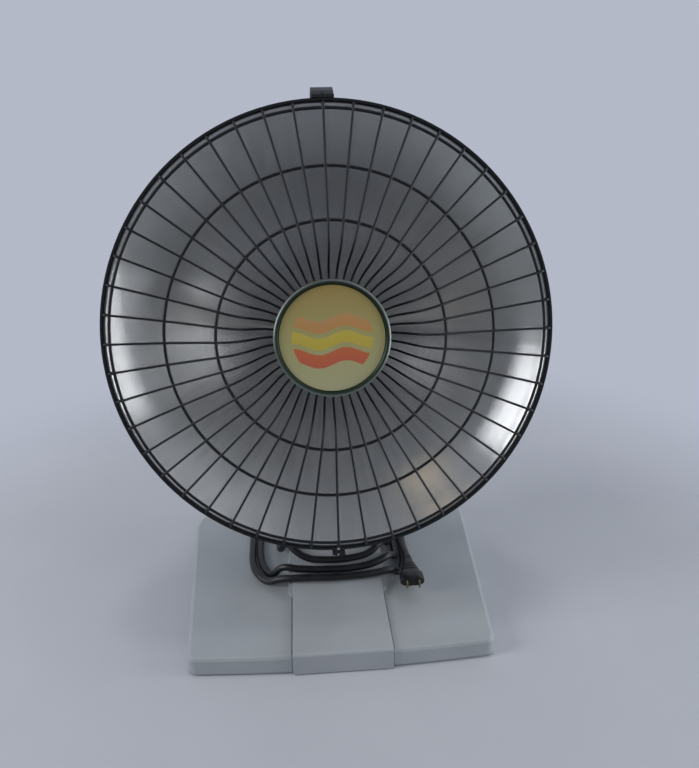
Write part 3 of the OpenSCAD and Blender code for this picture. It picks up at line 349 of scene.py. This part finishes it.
# heights, half widths and half depths, mm: the slotted tail, the ridges, the shoulder and the face
rings = [(-9, 4.2, 4.2), (-8.8, 4.5, 4.5), (-6.6, 4.6, 4.6), (-6.5, 4.1, 4.1), (-5.5, 4.1, 4.1),
         (-5.4, 4.8, 4.8), (-3.2, 4.9, 4.9), (-3.1, 4.3, 4.3), (-2.1, 4.3, 4.3), (-2, 5.0, 5.0),
         (0, 5.1, 5.0), (2, 5.4, 5.1), (6, 6.4, 5.2)]
for i in range(FINGER_RIDGES):
    start, wide = 7 + RIDGE_PITCH * i, 6.7 + RIDGE_SPREAD * i
    rings += [(start, wide, 5.1), (start + 0.6, wide + 0.1, 5.75), (start + 1.9, wide + 0.5, 5.8),
              (start + 2.6, wide + 0.7, 5.15)]
rings += [(20.5, 11.2, 5.3), (22.5, 12.1, 5.8), (24, 12.4, 6), (32.6, 12.5, 6), (33.6, 12.1, 5.6),
          (34, 11.5, 5.0)]
along_lead = Matrix.Translation(lead_end * MM) @ Matrix.Rotation(math.pi / 2, 4, "X")
plug = drawn_out("moulded_plug", rings, along_lead)
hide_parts("plug_body")
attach(plug, "stand")
print("rings in the plug:", len(rings))

# %% [markdown]
# ## Colours and nodes
# Colours are written as the hex values that a picture editor shows. Blender works in linear light,
# so one function turns them, and another makes a linear colour darker or lighter. A small function
# adds a node, sets it and links what feeds it, which keeps each material down to the lines that say
# something about the real surface.

# %% The helpers
def linear(code):
    """A hex colour in linear light, with full cover."""
    parts = [int(code[i:i + 2], 16) / 255 for i in (1, 3, 5)]
    return tuple(c / 12.92 if c <= 0.04045 else ((c + 0.055) / 1.055) ** 2.4 for c in parts) + (1.0,)


def scaled(colour, factor):
    """A linear colour made darker or lighter."""
    return tuple(min(1, c * factor) for c in colour[:3]) + (1,)


def add(tree, kind, inputs=None, **settings):
    """A node of a kind, with its settings, and its inputs set to values or linked to sockets."""
    node = tree.nodes.new(kind)
    for name, value in settings.items():
        setattr(node, name, value)
    for name, value in (inputs or {}).items():
        if isinstance(value, bpy.types.NodeSocket):
            tree.links.new(value, node.inputs[name])
        else:
            node.inputs[name].default_value = value
    return node


def new_material(name):
    """A material with an empty shader, its tree and the point on the object, in metres."""
    material = bpy.data.materials.new(name)
    material.use_nodes = True
    tree = material.node_tree
    shader = tree.nodes["Principled BSDF"]
    point = add(tree, "ShaderNodeTexCoord").outputs["Object"]
    return material, tree, shader, point


SPREAD = {"From Min": 0.3, "From Max": 0.7}    # a noise seldom leaves this range
print("mid grey in linear light:", round(linear("#808080")[0], 3))

# %% [markdown]
# ## Moulded ABS
# The stand is injection moulded ABS in a cool light grey. The mould is spark eroded, which leaves a
# fine even grain of about half a millimetre: the surface has no sharp reflection, only a broad soft
# sheen. Years of handling leave faint cloudy marks. Noise at two sizes makes this: grain for the
# bump, and patches of some centimetres for the tone and the roughness.

# %% Grey ABS
def moulded(name, colour, grain_mm, roughness):
    material, tree, shader, point = new_material(name)
    grain = add(tree, "ShaderNodeTexNoise", {"Vector": point, "Scale": 1 / (grain_mm * MM),
                                             "Detail": 3.0, "Roughness": 0.6})
    clouds = add(tree, "ShaderNodeTexNoise", {"Vector": point, "Scale": 14.0, "Detail": 4.0,
                                              "Roughness": 0.55})
    tone = add(tree, "ShaderNodeValToRGB", {"Fac": clouds.outputs["Fac"]})
    tone.color_ramp.elements[0].position = 0.3
    tone.color_ramp.elements[0].color = scaled(linear(colour), 0.93)
    tone.color_ramp.elements[1].position = 0.72
    tone.color_ramp.elements[1].color = scaled(linear(colour), 1.05)
    specks = add(tree, "ShaderNodeMix", {"Factor": 0.06, "A": tone.outputs["Color"],
                                         "B": grain.outputs["Color"]},
                 data_type="RGBA", blend_type="SOFT_LIGHT")
    shine = add(tree, "ShaderNodeMapRange", {"Value": clouds.outputs["Fac"], **SPREAD,
                                             "To Min": roughness - 0.05, "To Max": roughness + 0.06})
    bump = add(tree, "ShaderNodeBump", {"Height": grain.outputs["Fac"], "Distance": 0.04 * MM,
                                        "Strength": 0.55})
    tree.links.new(specks.outputs["Result"], shader.inputs["Base Color"])
    tree.links.new(shine.outputs["Result"], shader.inputs["Roughness"])
    tree.links.new(bump.outputs["Normal"], shader.inputs["Normal"])
    shader.inputs["IOR"].default_value = 1.53
    return material


grey_abs = moulded("grey_moulded_abs", "#a4aaae", 0.6, 0.45)
panel_abs = moulded("panel_moulded_abs", "#a6abb0", 0.6, 0.42)
charcoal_nylon = moulded("charcoal_moulded_nylon", "#191c21", 0.5, 0.45)
black_bakelite = moulded("black_moulded_bakelite", "#17181a", 0.8, 0.3)
ivory_nylon = moulded("ivory_moulded_nylon", "#e2ddcd", 0.5, 0.35)
foot_rubber = moulded("foot_rubber", "#1b1b1c", 0.7, 0.75)
print("moulded:", ", ".join(m.name for m in (grey_abs, panel_abs, charcoal_nylon, black_bakelite,
                                             ivory_nylon, foot_rubber)))

# %% [markdown]
# ## Spun aluminium
# The reflector is a disc of bright aluminium pressed over a turning former by a roller. The roller
# leaves fine grooves that run round the dish. Grooves spread a reflection across themselves, along
# the radius, which is why a spun dish shows bow ties of light and dark instead of a clear picture.
# The shader's anisotropy does this, with its tangent laid round the axis, and a fine noise on the
# radius alone gives the grooves that can be seen. Years of heat have left a thin film of pale oxide
# on the metal. The metallic value stands for it: three quarters mirror and one quarter dull haze, so
# the dish is grey where it shows the room and white only where it shows a lamp.

# %% The reflector's finish
def from_axis(tree, point):
    """The point in the dish's own frame, and its distance from the dish's axis."""
    own = add(tree, "ShaderNodeMapping", {"Vector": point, "Location": PIVOT,
                                          "Rotation": (math.pi / 2 - TILT, 0, 0)}, vector_type="TEXTURE")
    flat = add(tree, "ShaderNodeVectorMath", {0: own.outputs[0], 1: (1, 1, 0)}, operation="MULTIPLY")
    radius = add(tree, "ShaderNodeVectorMath", {0: flat.outputs[0]}, operation="LENGTH")
    return own.outputs[0], flat.outputs[0], radius.outputs["Value"]


def spun(name, colour, roughness, groove_mm, anisotropy, metallic):
    material, tree, shader, point = new_material(name)
    own, flat, radius = from_axis(tree, point)
    along = add(tree, "ShaderNodeCombineXYZ", {"X": radius})
    # real grooves are some hundredths of a millimetre apart: drawn coarse enough to show
    grooves = add(tree, "ShaderNodeTexNoise", {"Vector": along.outputs[0], "Scale": 1 / (groove_mm * MM),
                                               "Detail": 2.0})
    # rings of tone 11 mm wide, and shallow dents 110 mm across: a noise's scale is per metre
    bands = add(tree, "ShaderNodeTexNoise", {"Vector": along.outputs[0], "Scale": 90.0, "Detail": 2.0})
    dents = add(tree, "ShaderNodeTexNoise", {"Vector": own, "Scale": 9.0, "Detail": 1.0})
    # streaks along the radius, about 3 mm wide and 40 mm long: they vary the roughness, and their tone
    # is a painted reflection
    spoke = add(tree, "ShaderNodeVectorMath", {0: flat}, operation="NORMALIZE")
    far_out = add(tree, "ShaderNodeCombineXYZ", {"Z": radius})
    fan = add(tree, "ShaderNodeVectorMath", {0: spoke.outputs[0], 1: far_out.outputs[0]},
              operation="ADD")
    streaks = add(tree, "ShaderNodeTexNoise", {"Vector": fan.outputs[0], "Scale": 28.0, "Detail": 4.0,
                                               "Roughness": 0.6})
    base = linear(colour)
    ringed = add(tree, "ShaderNodeMix", {"Factor": bands.outputs["Fac"], "A": scaled(base, 0.92),
                                         "B": base}, data_type="RGBA")
    # the streaks' tone is a painted reflection of the room
    painted_streak_tone = add(tree, "ShaderNodeMapRange", {"Value": streaks.outputs["Fac"], **SPREAD,
                                             "To Min": 0.93, "To Max": 1.04})
    tone = add(tree, "ShaderNodeVectorMath", {0: ringed.outputs["Result"],
                                              "Scale": painted_streak_tone.outputs["Result"]}, operation="SCALE")
    shine = add(tree, "ShaderNodeMapRange", {"Value": streaks.outputs["Fac"], **SPREAD,
                                             "To Min": roughness - 0.015, "To Max": roughness + 0.02})
    fine = add(tree, "ShaderNodeBump", {"Height": grooves.outputs["Fac"], "Distance": 0.002 * MM,
                                        "Strength": 0.5})
    waves = add(tree, "ShaderNodeBump", {"Height": dents.outputs["Fac"], "Distance": 0.5 * MM,
                                         "Strength": 0.35, "Normal": fine.outputs["Normal"]})
    # round the axis: the dish's axis, in the room's directions, crossed with the way to the point
    axis = on_dish.to_3x3() @ Vector((0, 0, 1))
    out = add(tree, "ShaderNodeVectorMath", {0: point, 1: PIVOT}, operation="SUBTRACT")
    around = add(tree, "ShaderNodeVectorMath", {0: axis, 1: out.outputs[0]}, operation="CROSS_PRODUCT")
    tree.links.new(around.outputs[0], shader.inputs["Tangent"])
    tree.links.new(tone.outputs["Vector"], shader.inputs["Base Color"])
    tree.links.new(shine.outputs["Result"], shader.inputs["Roughness"])
    tree.links.new(waves.outputs["Normal"], shader.inputs["Normal"])
    shader.inputs["Metallic"].default_value = metallic
    shader.inputs["Anisotropic"].default_value = anisotropy
    shader.inputs["Anisotropic Rotation"].default_value = 0.25   # highlights spread across the grooves
    return material


spun_aluminium = spun("spun_dulled_aluminium", "#e9ebee", 0.25, 0.7, 0.6, 0.74)
print("the dish's axis:", [round(c, 3) for c in on_dish.to_3x3() @ Vector((0, 0, 1))])

# %% [markdown]
# ## Painted and plated metal
# The guard's wire and the back shell are painted a near-black charcoal, baked on, which gives a low
# even gloss. Screws and brackets are zinc plated: bright, slightly blue, with a fine crystal pattern.
# The plug's blades and the element's terminals are brass that has lost its shine, and the heating wire
# is a nickel chrome alloy that turns matt brown-grey at its first heat. What stands near the element
# has changed too: its ceramic has darkened and its steel is tinted. The hub has a matt stove black.

# %% Enamel, zinc, brass and the rest
def metal(name, colour, roughness, grain_mm, variation=0.12, painted=False):
    material, tree, shader, point = new_material(name)
    grain = add(tree, "ShaderNodeTexNoise", {"Vector": point, "Scale": 1 / (grain_mm * MM),
                                             "Detail": 3.0})
    wide = add(tree, "ShaderNodeTexNoise", {"Vector": point, "Scale": 22.0, "Detail": 3.0})
    base = linear(colour)
    tone = add(tree, "ShaderNodeMix", {"Factor": wide.outputs["Fac"], "A": scaled(base, 1 - variation),
                                       "B": scaled(base, 1 + variation)}, data_type="RGBA")
    shine = add(tree, "ShaderNodeMapRange", {"Value": grain.outputs["Fac"], **SPREAD,
                                             "To Min": roughness - 0.06, "To Max": roughness + 0.08})
    bump = add(tree, "ShaderNodeBump", {"Height": grain.outputs["Fac"], "Distance": 0.02 * MM,
                                        "Strength": 0.5})
    tree.links.new(tone.outputs["Result"], shader.inputs["Base Color"])
    tree.links.new(shine.outputs["Result"], shader.inputs["Roughness"])
    tree.links.new(bump.outputs["Normal"], shader.inputs["Normal"])
    shader.inputs["Metallic"].default_value = 0.0 if painted else 1.0
    return material


wire_enamel = metal("guard_wire_enamel", "#0b0f18", 0.5, 0.8, painted=True)
shell_enamel = metal("shell_enamel", "#15181d", 0.45, 0.7, painted=True)
zinc = metal("zinc_plated_steel", "#b9bcc0", 0.34, 0.9)
galvanised = metal("galvanised_sheet", "#a6aab0", 0.45, 2.2, 0.18)
brass = metal("dull_brass", "#8f836a", 0.36, 0.8)
stove_black = metal("matt_stove_black", "#34363a", 0.9, 0.8, painted=True)
stove_black.node_tree.nodes["Principled BSDF"].inputs["Specular IOR Level"].default_value = 0.12
hot_wire = metal("oxidised_nichrome", "#5e544b", 0.6, 0.4, 0.2)
ceramic = metal("unglazed_steatite", "#d8d2c6", 0.55, 0.5, 0.04, painted=True)
fired_ceramic = metal("fired_ceramic", "#45413e", 0.7, 0.5, 0.15, painted=True)
tinted_steel = metal("heat_tinted_steel", "#5f5c5c", 0.45, 0.9, 0.2)
fibre = metal("red_fibre", "#7d4333", 0.7, 0.4, 0.15, painted=True)
print("materials so far:", len(bpy.data.materials))

# %% [markdown]
# ## The badge
# In the middle of the guard stands a round badge: a domed disc of printed aluminium under clear
# lacquer, held in a plated bezel. The print here is a plain design of its own: a khaki field that
# pales towards the bottom, and three warm wavy bands across it. The waves are worked out in the
# badge's own plane, so the print lies flat on the disc from every side.

# %% The badge's print
BADGE_R, PRINT_R, PRINT_EDGE = 0.046, 0.0345, 0.0008   # metres, as are the sizes below
WAVE_LONG, WAVE_HIGH, WAVES_LOW, WAVES_TOP = 0.046, 0.0032, -0.023, 0.019
FIELD = "#c1bb7e"


def printed(name):
    material, tree, shader, point = new_material(name)
    own, _, radius = from_axis(tree, point)
    part = add(tree, "ShaderNodeSeparateXYZ", {"Vector": own})
    field = add(tree, "ShaderNodeMapRange", {"Value": part.outputs["Y"], "From Min": -BADGE_R,
                                             "From Max": BADGE_R})
    green = add(tree, "ShaderNodeValToRGB", {"Fac": field.outputs["Result"]})
    green.color_ramp.elements[0].color = linear("#cfcca2")
    green.color_ramp.elements[1].color = linear("#b59c5c")
    middle = green.color_ramp.elements.new(0.5)
    middle.color = linear(FIELD)
    swing = add(tree, "ShaderNodeMath", {0: part.outputs["X"], 1: 2 * math.pi / WAVE_LONG},
                operation="MULTIPLY")
    sine = add(tree, "ShaderNodeMath", {0: swing.outputs[0]}, operation="SINE")
    rise = add(tree, "ShaderNodeMath", {0: sine.outputs[0], 1: WAVE_HIGH}, operation="MULTIPLY")
    level = add(tree, "ShaderNodeMath", {0: part.outputs["Y"], 1: rise.outputs[0]}, operation="SUBTRACT")
    across = add(tree, "ShaderNodeMapRange", {"Value": level.outputs[0], "From Min": WAVES_LOW,
                                              "From Max": WAVES_TOP})
    bands = add(tree, "ShaderNodeValToRGB", {"Fac": across.outputs["Result"]})
    # place across the waves, colour, and cover: 0 lets the field show
    stops = [(0.0, FIELD, 0), (0.02, "#de7458", 1), (0.28, "#e07c50", 1), (0.31, FIELD, 0),
             (0.37, FIELD, 0), (0.40, "#dcc655", 1), (0.62, "#dfcb5c", 1), (0.65, FIELD, 0),
             (0.71, FIELD, 0), (0.74, "#dca364", 1), (0.97, "#d8a670", 1), (1.0, FIELD, 0)]
    ramp = bands.color_ramp
    for i, (place, code, cover) in enumerate(stops):
        stop = ramp.elements[i] if i < 2 else ramp.elements.new(place)
        stop.position = place
        stop.color = linear(code)[:3] + (cover,)
    inside = add(tree, "ShaderNodeMapRange", {"Value": radius, "From Min": PRINT_R,
                                              "From Max": PRINT_R + PRINT_EDGE, "To Min": 1.0,
                                              "To Max": 0.0})
    cover = add(tree, "ShaderNodeMath", {0: bands.outputs["Alpha"], 1: inside.outputs["Result"]},
                operation="MULTIPLY")
    face = add(tree, "ShaderNodeMix", {"Factor": cover.outputs[0], "A": green.outputs["Color"],
                                       "B": bands.outputs["Color"]}, data_type="RGBA")
    grain = add(tree, "ShaderNodeTexNoise", {"Vector": own, "Scale": 900.0, "Detail": 2.0})
    bump = add(tree, "ShaderNodeBump", {"Height": grain.outputs["Fac"], "Distance": 0.01 * MM,
                                        "Strength": 0.4})
    tree.links.new(face.outputs["Result"], shader.inputs["Base Color"])
    tree.links.new(bump.outputs["Normal"], shader.inputs["Normal"])
    shader.inputs["Roughness"].default_value = 0.35
    shader.inputs["Metallic"].default_value = 0.35
    shader.inputs["Coat Weight"].default_value = 0.5
    shader.inputs["Coat Roughness"].default_value = 0.12
    return material


badge_print = printed("badge_print")
print("the print's radius in mm:", round(PRINT_R / MM, 1))


# %% The badge's bezel
def plated(name):
    """The bezel: dark olive lacquer inside, with a painted sheen that lightens it towards its outer
    edge.
    """
    material, tree, shader, point = new_material(name)
    own, _, radius = from_axis(tree, point)
    outward = add(tree, "ShaderNodeMapRange", {"Value": radius, "From Min": BADGE_R, "From Max": 0.052})
    # the lighter colour towards the outer edge is a painted sheen, not a worn edge
    edge = add(tree, "ShaderNodeValToRGB", {"Fac": outward.outputs["Result"]})
    edge.color_ramp.elements[0].color = linear("#3d4c44")
    edge.color_ramp.elements[0].position = 0.35
    edge.color_ramp.elements[1].color = linear("#8a928d")
    edge.color_ramp.elements[1].position = 0.62
    grain = add(tree, "ShaderNodeTexNoise", {"Vector": own, "Scale": 700.0, "Detail": 2.0})
    bump = add(tree, "ShaderNodeBump", {"Height": grain.outputs["Fac"], "Distance": 0.01 * MM,
                                        "Strength": 0.4})
    tree.links.new(edge.outputs["Color"], shader.inputs["Base Color"])
    tree.links.new(bump.outputs["Normal"], shader.inputs["Normal"])
    shader.inputs["Roughness"].default_value = 0.36
    shader.inputs["Metallic"].default_value = 0.9
    return material


bezel_plate = plated("plated_bezel")
print("the bezel's finish:", bezel_plate.name)

# %% [markdown]
# ## Cable PVC
# Mains lead, plug, tie and strain relief are black PVC. It is softer than ABS and slightly greasy to
# the eye: a broad highlight, no grain, and dust that greys it in places.

# %% PVC
def pvc(name, colour, roughness):
    material, tree, shader, point = new_material(name)
    dust = add(tree, "ShaderNodeTexNoise", {"Vector": point, "Scale": 60.0, "Detail": 5.0,
                                            "Roughness": 0.7})
    tone = add(tree, "ShaderNodeValToRGB", {"Fac": dust.outputs["Fac"]})
    tone.color_ramp.elements[0].position, tone.color_ramp.elements[1].position = 0.45, 0.8
    tone.color_ramp.elements[0].color = linear(colour)
    tone.color_ramp.elements[1].color = linear("#1f2127")
    shine = add(tree, "ShaderNodeMapRange", {"Value": dust.outputs["Fac"], **SPREAD,
                                             "To Min": roughness - 0.05, "To Max": roughness + 0.1})
    bump = add(tree, "ShaderNodeBump", {"Height": dust.outputs["Fac"], "Distance": 0.1 * MM,
                                        "Strength": 0.3})
    tree.links.new(tone.outputs["Color"], shader.inputs["Base Color"])
    tree.links.new(shine.outputs["Result"], shader.inputs["Roughness"])
    tree.links.new(bump.outputs["Normal"], shader.inputs["Normal"])
    shader.inputs["IOR"].default_value = 1.53
    return material


cable_pvc = pvc("black_cable_pvc", "#0c0d12", 0.42)
lead.data.materials.append(cable_pvc)
print("the lead's finish:", cable_pvc.name)

# %% [markdown]
# ## Which part has which finish
# A CAD part keeps its mesh and only takes a new material in its slots. The pieces that were made
# here take theirs first, and the four parts that they stand for need none. A list of what is left
# over shows at once when a part was forgotten.

# %% Give each part its finish
finishes = {
    grey_abs: "base_shell neck_shell neck_rear_cover",
    panel_abs: "front_cover",
    galvanised: "base_plate steel_upright",
    foot_rubber: "rubber_feet",
    zinc: """base_screws neck_screws upright_bolts pivot_bolt pivot_nut cover_screws bracket_bolts
             bracket_spacers thermostat_shaft plunger_spring mounting_strap""",
    tinted_steel: "element_bracket badge_post",
    black_bakelite: "tip_switch_body alarm_buzzer thermostat_body",
    ivory_nylon: "tip_plunger",
    cable_pvc: "cord_tie",
    brass: "plug_blades element_terminals",
    spun_aluminium: "reflector",
    shell_enamel: "back_shell rim_band tilt_bracket",
    wire_enamel: """guard_rim_ring guard_ring_outer guard_ring_middle guard_ring_inner
                    rim_band_screw handle_screws""",
    stove_black: "guard_hub",
    charcoal_nylon: "rear_cover carry_handle thermostat_knob",
    bezel_plate: "badge_bezel",
    badge_print: "badge_disc",
    ceramic: "element_leads terminal_block",
    fired_ceramic: "element_core",
    hot_wire: "element_coil",
    fibre: "friction_washers",
}
new_pieces = {spokes: wire_enamel, beads: wire_enamel, relief: cable_pvc, plug: cable_pvc}
for piece, material in new_pieces.items():
    piece.data.materials.clear()
    piece.data.materials.append(material)
left = set(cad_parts) - {"power_cord", "strain_relief", "plug_body", "guard_spokes"}
for material, names in finishes.items():
    for name in names.split():
        if name not in left:
            print("no such node:", name)
            continue
        left.discard(name)
        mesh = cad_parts[name].data
        mesh.materials.clear()
        mesh.materials.append(material)
print("parts without a finish:", sorted(left))

# %% [markdown]
# ## The floor
# The heater stands on a pale cloth that runs up behind it without a fold. A flat floor that melts
# into the background with distance gives the same look from every side: its material turns from
# cloth to clear between two radii, and past them only the background shows.

# %% Floor
FLOOR_R, CLOTH_R, CLEAR_R = 0.85, 0.36, 0.84   # metres
deselect()
bpy.ops.mesh.primitive_circle_add(vertices=96, radius=FLOOR_R, fill_type="NGON", location=(0, 0, 0))
floor = bpy.context.object
floor.name = "floor"
cloth, tree, shader, point = new_material("floor_cloth")
weave = add(tree, "ShaderNodeTexNoise", {"Vector": point, "Scale": 5.0, "Detail": 5.0, "Roughness": 0.6})
tone = add(tree, "ShaderNodeMix", {"Factor": weave.outputs["Fac"], "A": linear("#b6bac2"),
                                   "B": linear("#c2c6cd")}, data_type="RGBA")
shader.inputs["Roughness"].default_value = 0.9
tree.links.new(tone.outputs["Result"], shader.inputs["Base Color"])
far = add(tree, "ShaderNodeVectorMath", {0: point}, operation="LENGTH")
fade = add(tree, "ShaderNodeMapRange", {"Value": far.outputs["Value"], "From Min": CLOTH_R,
                                        "From Max": CLEAR_R}, interpolation_type="SMOOTHSTEP")
clear = add(tree, "ShaderNodeBsdfTransparent")
mix = add(tree, "ShaderNodeMixShader", {0: fade.outputs["Result"], 1: shader.outputs[0],
                                        2: clear.outputs[0]})
tree.links.new(mix.outputs[0], tree.nodes["Material Output"].inputs["Surface"])
floor.data.materials.append(cloth)
print("the floor's radius in metres:", FLOOR_R)

# %% [markdown]
# ## The world
# A dish shows the room that it faces more than its own colour, so the room matters as much as the
# metal. The camera sees the world as one plain colour. Everything else sees soft walls: pale behind
# the heater and brightest high on its right, dim in front of it at its own height, and dim again at
# the ceiling. A wall hangs on the direction in the room alone, so it stays put when the camera moves.

# %% The world
BACKDROP, RIGHT_WALL = "#b4b9c8", "#eef1f6"
FRONT_LIGHT, CEILING_LIGHT = 0.4, 0.6  # the share of its light that each keeps
world = bpy.data.worlds.new("room")
bpy.context.scene.world = world
world.use_nodes = True
tree = world.node_tree
# each Map Range turns one part of the direction, from -1 to 1, into a soft edge
direction = add(tree, "ShaderNodeTexCoord").outputs["Generated"]
towards = add(tree, "ShaderNodeSeparateXYZ", {"Vector": direction})
back = add(tree, "ShaderNodeMapRange", {"Value": towards.outputs["Y"], "From Min": -0.9,
                                        "From Max": 0.9})
walls = add(tree, "ShaderNodeValToRGB", {"Fac": back.outputs["Result"]})
walls.color_ramp.elements[0].color = linear("#8e939c")
walls.color_ramp.elements[1].color = linear(BACKDROP)
walls.color_ramp.elements.new(0.5).color = linear("#a2a7b1")
rightward = add(tree, "ShaderNodeMapRange", {"Value": towards.outputs["X"], "From Min": 0.15,
                                             "From Max": 0.5})
upward = add(tree, "ShaderNodeMapRange", {"Value": towards.outputs["Z"], "From Min": 0.3,
                                          "From Max": 0.5})
right_wall = add(tree, "ShaderNodeMath", {0: rightward.outputs["Result"], 1: upward.outputs["Result"]},
                 operation="MULTIPLY")
all_walls = add(tree, "ShaderNodeMix", {"Factor": right_wall.outputs[0], "A": walls.outputs["Color"],
                                        "B": linear(RIGHT_WALL)}, data_type="RGBA")
level = add(tree, "ShaderNodeMath", {0: towards.outputs["Z"]}, operation="ABSOLUTE")
off_level = add(tree, "ShaderNodeMapRange", {"Value": level.outputs[0], "From Min": 0.4,
                                             "From Max": 0.55, "To Min": FRONT_LIGHT})
off_front = add(tree, "ShaderNodeMapRange", {"Value": towards.outputs["Y"], "From Min": -0.4,
                                             "From Max": -0.28, "To Min": FRONT_LIGHT})
front = add(tree, "ShaderNodeMath", {0: off_level.outputs["Result"], 1: off_front.outputs["Result"]},
            operation="MAXIMUM")
ceiling = add(tree, "ShaderNodeMapRange", {"Value": towards.outputs["Z"], "From Min": 0.75,
                                           "From Max": 0.92, "To Min": 1.0, "To Max": CEILING_LIGHT})
dim = add(tree, "ShaderNodeMath", {0: front.outputs[0], 1: ceiling.outputs["Result"]},
          operation="MULTIPLY")
dimmed = add(tree, "ShaderNodeVectorMath", {0: all_walls.outputs["Result"], "Scale": dim.outputs[0]},
             operation="SCALE")
rays = add(tree, "ShaderNodeLightPath")
shade = add(tree, "ShaderNodeMix", {"Factor": rays.outputs["Is Camera Ray"],
                                    "A": dimmed.outputs["Vector"], "B": linear(BACKDROP)},
            data_type="RGBA")
tree.links.new(shade.outputs["Result"], tree.nodes["Background"].inputs["Color"])
tree.nodes["Background"].inputs["Strength"].default_value = 1.0
print("nodes in the world:", len(tree.nodes))


# %% [markdown]
# ## The lamps
# The lamps are broad, so that shadows stay soft. Two tall windows stand at the sides, and the dish
# mirrors each on the far side of its rim. A small lamp above and a broad one in front light the stand
# and the guard. The dish doesn't mirror them, because their glare would hide its bow ties. One small
# warm lamp gives the yellow gleam low on the right of the dish.

# %% Lamps
def soft_lamp(name, place, aim, wide, tall, watts, colour="#ffffff", in_mirror=True):
    """An area lamp at a place in metres, turned to its aim. The camera doesn't see it."""
    bpy.ops.object.light_add(type="AREA", location=place)
    lamp = bpy.context.object
    lamp.name = name
    lamp.data.shape = "RECTANGLE"
    lamp.data.size, lamp.data.size_y = wide, tall
    lamp.data.energy = watts
    lamp.data.color = linear(colour)[:3]
    lamp.rotation_euler = (Vector(aim) - Vector(place)).to_track_quat("-Z", "Y").to_euler()
    lamp.visible_camera = False
    lamp.visible_glossy = in_mirror


soft_lamp("window_left", (-1.5, -0.42, 0.85), (0, 0, 0.3), 0.6, 0.9, 12)
soft_lamp("window_right", (1.5, -0.36, 0.2), (0, 0, 0.3), 0.6, 1.1, 14)
soft_lamp("above", (0.0, -0.1, 2.2), (0, 0, 0.0), 0.25, 0.25, 3, in_mirror=False)
soft_lamp("front", (0.0, -2.0, 1.3), (0, 0, 0.2), 1.2, 1.2, 2.6, in_mirror=False)
soft_lamp("warm", (-0.75, -0.76, 1.67), (0, -0.05, 0.3), 0.34, 0.34, 0.7, "#ffe0a8")
print("lamps:", len(bpy.data.lights))

# %% [markdown]
# ## Colour management
# The picture is shown as rendered, without a film curve.

# %% Finish
bpy.context.scene.view_settings.view_transform = "Standard"
